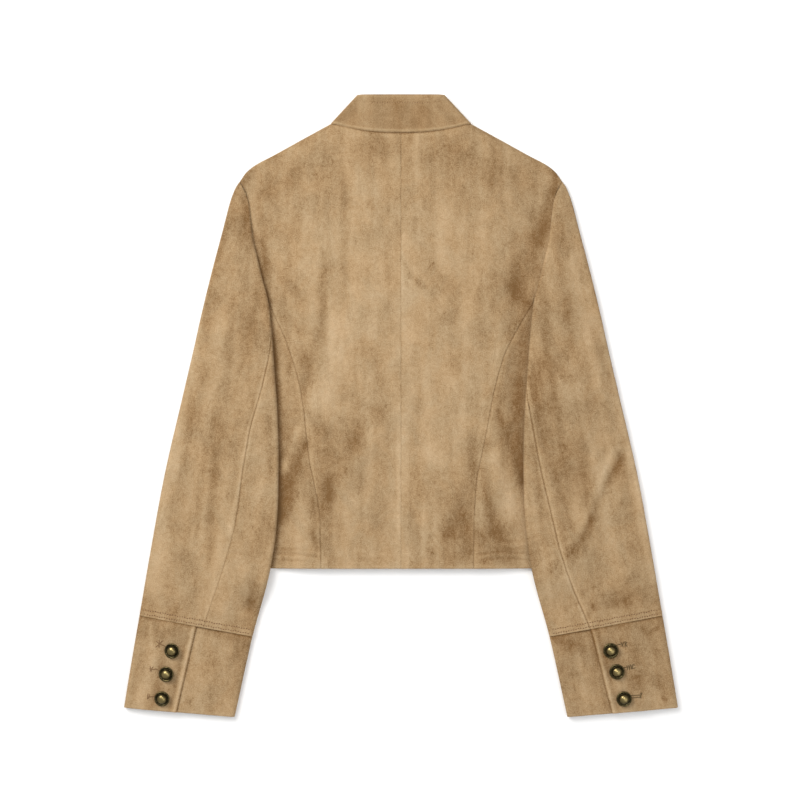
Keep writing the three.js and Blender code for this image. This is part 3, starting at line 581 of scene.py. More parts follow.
@dataclass
class Panel:
    """One piece of cloth as a grid of points, with the finish of its four edges.

    edges are (first row, last row, first column, last column), and turn is how far the cloth's length is
    turned from the jacket's, in degrees.
    """

    name: str
    points: Array
    edges: tuple[Edge, Edge, Edge, Edge]
    wall: float = WALL.suede
    floor: float = 0.0
    turn: float = 0.0

    def __post_init__(self) -> None:
        p = self.points
        across = np.linalg.norm(np.diff(p, axis=1), axis=-1)
        along = np.linalg.norm(np.diff(p, axis=0), axis=-1)
        zero_column, zero_row = np.zeros((p.shape[0], 1)), np.zeros((1, p.shape[1]))
        self.across = np.concatenate([zero_column, np.cumsum(across, axis=1)], axis=1)
        self.along = np.concatenate([zero_row, np.cumsum(along, axis=0)], axis=0)
        self.normals = self.outward()
        self.area = self.measure()

    def outward(self) -> Array:
        """Unit normals of the grid; reversed where the grid is wound the other way."""
        du = np.gradient(self.points, axis=1)
        dv = np.gradient(self.points, axis=0)
        n = np.cross(du, dv)
        length = np.linalg.norm(n, axis=-1, keepdims=True)
        n = n / np.maximum(length, 1e-9)
        return n

    def measure(self) -> float:
        """Area of the grid in square metres."""
        a = self.points[:-1, :-1]
        b = self.points[:-1, 1:]
        c = self.points[1:, 1:]
        d = self.points[1:, :-1]
        halves = np.linalg.norm(np.cross(b - a, c - a), axis=-1) + np.linalg.norm(np.cross(c - a, d - a), axis=-1)
        return float(halves.sum()) / 2.0 * MM * MM

    def pattern(self, seed: float) -> Array:
        """Place of each point on the hide it is cut from, in millimetres: flat, with the folds let out."""
        x, y = self.points[..., 0], self.points[..., 1]
        flat_across = np.hypot(np.diff(x, axis=1), np.diff(y, axis=1))
        flat_along = np.hypot(np.diff(x, axis=0), np.diff(y, axis=0))
        folded_across, folded_along = self.across.copy(), self.along.copy()
        folded_across[:, 1:] -= np.cumsum(flat_across, axis=1)
        folded_along[1:] -= np.cumsum(flat_along, axis=0)
        a = math.radians(self.turn)
        u = x * math.cos(a) + y * math.sin(a) + folded_across
        v = y * math.cos(a) - x * math.sin(a) + folded_along
        return np.stack([u + 173.0 * seed, v + 91.0 * seed], -1)

    def distances(self) -> tuple[Array, Array, Array, Array]:
        """Distance over the cloth to the first row, last row, first column and last column."""
        return (
            self.along,
            self.along[-1:, :] - self.along,
            self.across,
            self.across[:, -1:] - self.across,
        )


@dataclass(frozen=True)
class SeamShape:
    """How the cloth dips at a seam and lies up over the pressed-open allowance beside it."""

    valley: float = 0.30
    valley_width: float = 1.0
    # dark is painted shade in the seam's valley, pale a painted highlight on its raised shoulder
    dark: float = 0.16
    pale: float = 0.15
    allowance: float = 0.34
    allowance_width: float = 8.5
    allowance_edge: float = 2.4
    pucker: float = 0.10
    pucker_length: float = 17.0
    pucker_reach: float = 7.0

    def height(self, away: Array, along: Array, seed: float) -> Array:
        """Height in millimetres at a distance from the seam."""
        valley = -self.valley * np.exp(-((away / self.valley_width) ** 2))
        edge = self.allowance_width + 0.9 * np.sin(along / 23.0 + seed)
        band = self.allowance * (1.0 - ease((away - edge) / self.allowance_edge + 0.5))
        wave = np.sin(2 * np.pi * along / self.pucker_length + 1.9 * np.sin(along / 31.0 + seed))
        return valley + band + self.pucker * wave * np.exp(-away / self.pucker_reach)

    def tone(self, away: Array) -> Array:
        """Lightness beside the seam: painted shade in its valley and a painted highlight on its shoulder."""
        return -self.dark * np.exp(-((away / 0.8) ** 2)) + self.pale * np.exp(-(((away - 2.1) / 1.3) ** 2))


SEAM = SeamShape()
# The sleeves' seams get stronger painted shade and painted highlight.
SLEEVE_SEAM = SeamShape(valley=0.36, dark=0.34, pale=0.34)
SLEEVE_FAINT_BELOW = {Side.LEFT: -70.0, Side.RIGHT: -1000.0}


@dataclass(frozen=True)
class ClothLook:
    """Relief and tone that a kind of piece takes on top of its form."""

    relief: Relief
    swell: float = 0.45
    swell_length: float = 46.0
    seam: SeamShape = SEAM
    faint: float = 0.35
    faint_above: float = 190.0
    faint_below: float = -1000.0


def seam_fields(panel: Panel, look: ClothLook, seed: float) -> tuple[Array, Array]:
    """Height and tone that a panel's seams and free edges give it; the tone is painted shade in the seams and painted
    highlight beside them and along the free edges.
    """
    shape = look.seam
    strong = mix(1.0, look.faint, ease((panel.points[..., 1] - look.faint_above) / 26.0))
    strong = strong * mix(1.0, look.faint, ease((look.faint_below - panel.points[..., 1]) / 60.0))
    height = np.zeros(panel.points.shape[:2])
    tone = np.zeros_like(height)
    first_row, last_row, first_column, last_column = panel.distances()
    places = (
        (first_row, panel.across),
        (last_row, panel.across),
        (first_column, panel.along),
        (last_column, panel.along),
    )
    for i, ((away, along), edge) in enumerate(zip(places, panel.edges)):
        if edge in (Edge.SEAM, Edge.FAINT):
            share = strong if edge is Edge.SEAM else look.faint
            height += share * shape.height(away, along, seed + i)
            tone += share * shape.tone(away)
        elif edge is Edge.FREE:
            height += -0.35 * np.exp(-((away / 1.2) ** 2))
            # Painted highlight just inside the rolled free edge.
            tone += 0.18 * np.exp(-(((away - 1.6) / 1.6) ** 2))
    return height, tone


def shell_object(panel: Panel, height: Array, tone: Array, seed: float) -> bpy.types.Object:
    """Closed thin shell of a panel, with its edges rounded.

    Args:
        panel: The piece's form.
        height: Extra height along the cloth's normal, in millimetres.
        tone: Lightness, kept as the attribute "tone": partly the nap's own colour, partly painted shade and
            highlight.
        seed: Shifts the cloth's pattern, as each piece is cut from another place.
    """
    rows, columns = height.shape
    outer = panel.points + panel.normals * height[..., None]
    inner = panel.points + panel.normals * (height - panel.wall)[..., None]
    outer[..., 2] = np.maximum(outer[..., 2], panel.floor)
    inner[..., 2] = np.maximum(inner[..., 2], panel.floor)
    ids = np.arange(rows * columns).reshape(rows, columns)
    loop = np.concatenate([ids[0, :-1], ids[:-1, -1], ids[-1, :0:-1], ids[:0:-1, 0]])
    free = np.concatenate(
        [
            np.full((len(part), 1), edge is Edge.FREE)
            for part, edge in (
                (ids[0, :-1], panel.edges[0]),
                (ids[:-1, -1], panel.edges[3]),
                (ids[-1, :0:-1], panel.edges[1]),
                (ids[:0:-1, 0], panel.edges[2]),
            )
        ]
    )
    flat_outer, flat_inner = outer.reshape(-1, 3), inner.reshape(-1, 3)
    step = np.zeros_like(outer)
    step[:, 0] += outer[:, 0] - outer[:, 1]
    step[:, -1] += outer[:, -1] - outer[:, -2]
    step[0] += outer[0] - outer[1]
    step[-1] += outer[-1] - outer[-2]
    away = step.reshape(-1, 3)[loop]
    away /= np.maximum(np.linalg.norm(away, axis=1, keepdims=True), 1e-9)
    middle = (flat_outer[loop] + flat_inner[loop]) / 2.0
    half = flat_outer[loop] - middle
    radius = np.linalg.norm(half, axis=1, keepdims=True)
    rings = []
    for angle in (35.0, 90.0, 145.0):
        a = math.radians(angle)
        across = math.cos(a) * np.where(free, 1.0, 0.25 + 0.92 * (abs(math.cos(a)) > 0.5))
        ring = middle + half * across + away * radius * np.where(free, 0.45, 0.16) * math.sin(a)
        ring[:, 2] = np.maximum(ring[:, 2], panel.floor)
        rings.append(ring)
    vertices = np.concatenate([flat_outer, flat_inner, *rings]) * MM
    count = rows * columns
    a, b, c, d = ids[:-1, :-1], ids[:-1, 1:], ids[1:, 1:], ids[1:, :-1]
    faces = [np.stack([a, b, c, d], -1).reshape(-1, 4), np.stack([a, d, c, b], -1).reshape(-1, 4) + count]
    n = len(loop)
    chain = [loop] + [2 * count + i * n + np.arange(n) for i in range(3)] + [loop + count]
    for near, far in zip(chain[:-1], chain[1:]):
        faces.append(np.stack([near, far, np.roll(far, -1), np.roll(near, -1)], -1))
    quads = np.concatenate(faces).astype(np.int32)
    mesh = bpy.data.meshes.new(panel.name)
    mesh.vertices.add(len(vertices))
    mesh.vertices.foreach_set("co", vertices.astype(np.float32).ravel())
    mesh.loops.add(quads.size)
    mesh.loops.foreach_set("vertex_index", quads.ravel())
    mesh.polygons.add(len(quads))
    mesh.polygons.foreach_set("loop_start", np.arange(0, quads.size, 4, dtype=np.int32))
    mesh.update(calc_edges=True)
    mesh.validate()
    mesh.shade_smooth()
    uv = panel.pattern(seed).reshape(-1, 2) * MM
    uv = np.concatenate([uv, uv, uv[loop], uv[loop], uv[loop]])
    shade = tone.reshape(-1)
    # The rim's rings get darker as they turn under: painted shade.
    shade = np.concatenate([shade, shade, shade[loop], shade[loop] - 0.1, shade[loop] - 0.2])
    corners = np.empty(len(mesh.loops), np.int32)
    mesh.loops.foreach_get("vertex_index", corners)
    mesh.uv_layers.new(name="cloth").data.foreach_set("uv", uv[corners].astype(np.float32).ravel())
    mesh.attributes.new("tone", "FLOAT", "POINT").data.foreach_set("value", shade.astype(np.float32))
    made = bpy.data.objects.new(panel.name, mesh)
    bpy.context.scene.collection.objects.link(made)
    return made


def patch_grid(bottom: Array, top: Array, left: Array, right: Array, share: Array, v: Array) -> Array:
    """Points of a four-sided patch between boundary rows of (x, y).

    Args:
        bottom: First row, (columns, 2).
        top: Last row, (columns, 2).
        left: First column, (rows, 2).
        right: Last column, (rows, 2).
        share: How far the right side's bend carries on into each column.
        v: Place of each row from 0 to 1.
    """
    v = v[:, None, None]
    share = share[None, :, None]

    def bend(side: Array) -> Array:
        return side[:, None, :] - mix(side[0], side[-1], v)

    return mix(bottom[None], top[None], v) + (1.0 - share) * bend(left) + share * bend(right)


def outwards(panel: Panel, up_at: tuple[int, int]) -> Panel:
    """Turns a panel's columns round if its normals point into the jacket at a place that faces up."""
    if panel.normals[up_at][2] < 0.0:
        first_row, last_row, first_column, last_column = panel.edges
        return Panel(
            panel.name,
            panel.points[:, ::-1].copy(),
            (first_row, last_row, last_column, first_column),
            panel.wall,
            panel.floor,
            panel.turn,
        )
    return panel


@dataclass(frozen=True)
class BodyBuilder:
    """Makes the body's panels as grids on the CAD's form."""

    side: Side
    sleeve: SleeveCut
    collar_fold: float = 6.1

    def lifted(self, flat: Array) -> Array:
        """Flat half-width points raised to the back's height, on this side."""
        x, y = flat[..., 0], flat[..., 1]
        return np.stack([self.side.value * x, y, BODY.back_height(self.side, x, y)], axis=-1)

    def centre_back(self) -> Panel:
        """From the centre seam out to the princess seam and the armhole, up to the collar and shoulder."""
        foot, head, neck, half = 0.66, 0.95, 0.43, WALL.gap / 2
        u = parts_of((0, neck, 34, 0.8), (neck, 1, 44, 0.75))
        v = parts_of((0, foot, 120, 0.75), (foot, head, 46, 0.2), (head, 0.985, 6, 0.0), (0.985, 1, 12, 0.6))
        end_x, end_y = BODY.shoulder[-1]
        hem_x = BODY.princess_x(self.side, BODY.hem_y) - half
        bottom = np.stack([mix(half, hem_x, u), np.full_like(u, BODY.hem_y)], -1)
        neck_x = np.maximum(half, BODY.neck_x * u / neck)
        shoulder_x = mix(BODY.neck_x, end_x - half, (u - neck) / (1 - neck))
        top = np.where(
            (u <= neck)[:, None],
            np.stack([neck_x, BODY.back_neck_y(neck_x) - half], -1),
            np.stack([shoulder_x, BODY.shoulder_y(np.maximum(shoulder_x, BODY.neck_x))], -1),
        )
        left = np.stack([np.full_like(v, half), mix(BODY.hem_y, BODY.neck_centre_y, v)], -1)
        y = mix(BODY.hem_y, BODY.armhole_foot[1], v / foot)
        seam = np.stack([BODY.princess_x(self.side, y) - half, y], -1)
        k = np.clip(mix(self.sleeve.foot, 0.0, (v - foot) / (head - foot)), 0.0, self.sleeve.foot)
        _, inner, _ = self.sleeve.ends(k)
        tuck = self.sleeve.column("roll", k) * (1 - np.cos(np.radians(self.sleeve.column("turn", k)))) + WALL.suede
        tuck = tuck * ease((v - foot) / 0.06) * ease((head - v) / 0.06)
        armhole = inner + np.stack([tuck - half, 0.0 * tuck], -1)
        _, first, _ = self.sleeve.ends(np.zeros(1))
        rest = mix(first, np.array([[end_x, end_y]]), ((v - head) / (1 - head))[:, None]) + np.array([[-half, half]])
        right = np.where((v <= foot)[:, None], seam, np.where((v <= head)[:, None], armhole, rest))
        points = self.lifted(patch_grid(bottom, top, left, right, u, v))
        edges = (Edge.FREE, Edge.SEAM, Edge.FAINT, Edge.SEAM)
        return outwards(Panel(f"centre_back_{self.side.word}_cloth", points, edges, floor=WALL.rim), (60, 20))

    def side_back(self) -> Panel:
        """From the princess seam to the side, up to the armhole's hidden part."""
        half = WALL.gap / 2
        u = parts_of((0, 0.96, 46, 0.72), (0.96, 1, 14, 0.3))
        v = clustered(120, 0.7)
        y_right = mix(BODY.hem_y, BODY.chest[1], v)
        y_left = mix(BODY.hem_y, BODY.armhole_foot[1], v)
        right = np.stack([BODY.side_x(y_right), y_right], -1)
        left = np.stack([BODY.princess_x(self.side, y_left) + half, y_left], -1)
        bottom = mix(left[0], right[0], u[:, None])
        top = mix(left[-1], right[-1], u[:, None])
        points = self.lifted(patch_grid(bottom, top, left, right, u, v))
        edges = (Edge.FREE, Edge.TUCKED, Edge.SEAM, Edge.TUCKED)
        return outwards(Panel(f"side_back_{self.side.word}_cloth", points, edges, floor=WALL.rim), (60, 20))

    def front(self) -> Panel:
        """Flat on the table; the left front climbs onto the right one where they lap."""
        half, chest, armhole_top, neck, corner = WALL.gap / 2, 0.5, 0.98, 0.5, 0.53
        angles = np.array([0, 9, 20, 28, 38, 48, 60, 75, 90], float)
        u = parts_of((0, neck, 44, 0.5), (neck, corner, 3, 0.0), (corner, 1, 30, 0.5))
        v = parts_of((0, chest, 40, 0.4), (chest, armhole_top, 36, 0.0), (armhole_top, 1, 3, 0.0))
        end_x, end_y = BODY.shoulder[-1]
        degrees = np.interp(np.clip(u / neck, 0, 1), np.linspace(0, 1, len(angles)), angles)
        neckline = BODY.front_neck(np.radians(degrees), half, self.collar_fold)
        turn_x = mix(BODY.neck_x - self.collar_fold + half, BODY.neck_x, (u - neck) / (corner - neck))
        shoulder_x = mix(BODY.neck_x, end_x - half, (u - corner) / (1 - corner))
        drop = half * ease((BODY.neck_x + 8.0 - shoulder_x) / 8.0)
        shoulder = np.stack([shoulder_x, BODY.shoulder_y(np.maximum(shoulder_x, BODY.neck_x)) - drop], -1)
        turn = np.stack([turn_x, np.full_like(u, BODY.neck_y - half)], -1)
        top = np.where((u <= neck)[:, None], neckline, np.where((u <= corner)[:, None], turn, shoulder))
        lapped, level = 2 / 8 * neck, 3 / 8 * neck
        level_x = float(np.interp(level, u, top[:, 0]))
        hem_x = np.where(u <= level, top[:, 0], mix(level_x, BODY.side_x(BODY.hem_y), (u - level) / (1 - level)))
        bottom = np.stack([hem_x, np.full_like(u, BODY.hem_y)], -1)
        left = np.stack([np.full_like(v, -BODY.lap), mix(BODY.hem_y, top[0, 1], v)], -1)
        y = mix(BODY.hem_y, BODY.chest[1], v / chest)
        side_edge = np.stack([BODY.side_x(y), y], -1)
        k = np.clip(mix(self.sleeve.foot, 0.0, (v - chest) / (armhole_top - chest)), 0.0, self.sleeve.foot)
        outer, inner, _ = self.sleeve.ends(k)
        armhole = mix(outer, inner, self.sleeve.column("armhole", k)[:, None])
        rest = mix(armhole[-1:], np.array([[end_x - half, end_y]]), ((v - armhole_top) / (1 - armhole_top))[:, None])
        right = np.where((v <= chest)[:, None], side_edge, np.where((v <= armhole_top)[:, None], armhole, rest))
        flat = patch_grid(bottom, top, left, right, ease((u - neck) / (1 - neck)), v)
        lift = (WALL.suede + WALL.gap if self.side is Side.LEFT else 0.0) * ease((level - u) / (level - lapped))
        z = WALL.suede + lift[None, :] + 0.0 * flat[..., 0]
        points = np.stack([self.side.value * flat[..., 0], flat[..., 1], z], axis=-1)
        edges = (Edge.TUCKED, Edge.TUCKED, Edge.TUCKED, Edge.TUCKED)
        return outwards(Panel(f"front_{self.side.word}_cloth", points, edges), (20, 20))


@dataclass(frozen=True)
class SleeveBuilder:
    """Makes a sleeve's two pieces and its cuff."""

    cut: SleeveCut
    cuff: CuffCut

    def upper(self) -> Panel:
        """From the back seam over the top, round the outer fold and under to the front seam."""
        cut = self.cut
        over_top, over_fold = 0.5, 0.68
        u = parts_of((0, 0.1, 26, 0.5), (0.1, over_top, 40, 0.0), (over_top, over_fold, 14, 0.0), (over_fold, 1, 14, 0.3))
        k = np.maximum(cut.first, cut.last * parts_of((0, 0.06, 14, 0.3), (0.06, 0.9, 130, 0.0), (0.9, 1, 40, 0.72)))
        k, u = np.meshgrid(k, u, indexing="ij")
        top = cut.upper_layer(k, mix(cut.back_seam(k, WALL.gap / 2), 1.0, np.clip(u / over_top, 0, 1)))
        fold = cut.outer_round(k, np.clip((u - over_top) / (over_fold - over_top), 0, 1))
        _, _, width = cut.ends(k)
        seam = np.where(k < cut.foot, cut.column("armhole", k), cut.column("front", k)) - WALL.gap / width
        start = cut.column("height", k) / 2.0 / width
        share = mix(start, seam, np.clip((u - over_fold) / (1 - over_fold), 0, 1))
        under = cut.point(k, share, cut.under_height(k, share))
        points = np.where((u <= over_top)[..., None], top, np.where((u <= over_fold)[..., None], fold, under))
        edges = (Edge.SEAM, Edge.FREE, Edge.SEAM, Edge.TUCKED)
        panel = Panel(f"upper_sleeve_{cut.side.word}_cloth", points, edges, turn=cut.lie)
        return outwards(panel, (90, 40))

    def under(self) -> Panel:
        """From the front seam in along the lower layer, round the inner fold and up to the back seam."""
        cut = self.cut
        below = 0.4
        u = parts_of((0, below, 30, 0.2), (below, 0.85, 44, 0.0), (0.85, 1, 20, 0.72))
        s = parts_of((0, 0.82, 90, 0.1), (0.82, 1, 40, 0.72))
        k = np.maximum(cut.foot + cut.first, mix(cut.foot, cut.last, s))
        k, u = np.meshgrid(k, u, indexing="ij")
        _, _, width = cut.ends(k)
        share = mix(cut.column("front", k), 1.0 - cut.column("roll", k) / width, np.clip(u / below, 0, 1))
        lower = cut.point(k, share, cut.under_height(k, share))
        top = cut.upper_layer(k, mix(-1.0, cut.back_seam(k, -WALL.gap / 2), np.clip((u - below) / (1 - below), 0, 1)))
        points = np.where((u <= below)[..., None], lower, top)
        edges = (Edge.TUCKED, Edge.FREE, Edge.TUCKED, Edge.SEAM)
        panel = Panel(f"under_sleeve_{cut.side.word}_cloth", points, edges, turn=cut.lie)
        return outwards(panel, (100, len(panel.points[0]) - 12))

    def band(self) -> Panel:
        """The cuff, from its upper end at the slit all round to its lower end beneath."""
        cuff = self.cuff
        u = parts_of((0, 0.2, 44, 0.6), (0.2, 0.4, 14, 0), (0.4, 0.6, 16, 0), (0.6, 0.65, 12, 0), (0.65, 0.8, 34, 0), (0.8, 1, 10, 0))
        s = clustered(62, 0.7)
        s, u = np.meshgrid(s, u, indexing="ij")
        slit = cuff.slit_at(s)
        end = 4.0 + slit + cuff.underlap / cuff.flat_width
        # Columns 0.2 to 0.8 of the table run once round from the outer fold's top to the inner fold's top.
        turn = np.select(
            [u <= 0.2, u <= 0.8],
            [mix(slit, 1.0, u / 0.2), mix(1.0, 4.0, (u - 0.2) / 0.6)],
            mix(4.0, end, (u - 0.8) / 0.2),
        )
        points = cuff.point(s, turn)
        edges = (Edge.TUCKED, Edge.FREE, Edge.FREE, Edge.TUCKED)
        panel = Panel(f"cuff_{cuff.side.word}_cloth", points, edges, turn=self.cut.lie)
        return outwards(panel, (30, 20))


@dataclass(frozen=True)
class CollarCut:
    """The stand collar: one band round a fold at each side of the neck."""

    top_x: float = 51.0
    top_y: float = 361.0
    height: float = 12.2
    front_drop: float = 72.0
    start_angle: float = 9.0

    @property
    def fold(self) -> float:
        return self.height / 2.0

    def half(self, v: Array) -> Array:
        """Rows v of the +X half from the centre front to the centre back, as (rows, columns, 3)."""
        gap = WALL.gap / 2
        edge_x = mix(BODY.neck_x, self.top_x, v)[:, None]
        angles = np.radians(mix(self.start_angle, 90.0, np.linspace(0, 1, 30)))[None, :]
        sewn = BODY.front_neck(angles, -gap, self.fold)
        end = float(BODY.front_neck(np.radians(self.start_angle), -gap, self.fold)[0])
        share = (sewn[..., 0] - end) / (BODY.neck_x - self.fold - end)
        t = v[:, None]
        front_x = mix(sewn[..., 0], mix(end, self.top_x - self.fold, share), t)
        front_y = mix(sewn[..., 1], self.top_y - self.front_drop * np.cos(angles), t)
        front = np.stack([front_x, front_y, 0.0 * front_x], -1)
        turn = np.radians(np.linspace(-90, 90, 23))[None, 1:-1]
        fold_x = edge_x - self.fold * (1 - np.cos(turn))
        at_seam = BODY.back_neck_y(BODY.neck_x - self.fold * (1 - np.cos(turn)))
        seam_y = np.where(turn > 0, at_seam, BODY.neck_y)
        fold = np.stack([fold_x, mix(seam_y + gap, self.top_y, t) + 0 * fold_x, self.fold * (1 + np.sin(turn)) + 0 * fold_x], -1)
        seam_x = (BODY.neck_x - self.fold) * (1.0 - np.linspace(0, 1, 36))[None, :]
        back_x = seam_x / (BODY.neck_x - self.fold) * (edge_x - self.fold)
        back_y = mix(BODY.back_neck_y(seam_x) + gap, self.top_y, t)
        back = np.stack([back_x, back_y + 0 * back_x, self.height + 0 * back_x], -1)
        return np.concatenate([front, fold, back], axis=1)

    def panel(self) -> Panel:
        """The whole band."""
        half = self.half(clustered(38, 0.75))
        other = half[:, -2::-1] * np.array([-1.0, 1.0, 1.0])
        points = np.concatenate([half, other], axis=1)
        edges = (Edge.FREE, Edge.FREE, Edge.FREE, Edge.FREE)
        return outwards(Panel("collar_cloth", points, edges, wall=WALL.collar), (19, half.shape[1] - 4))
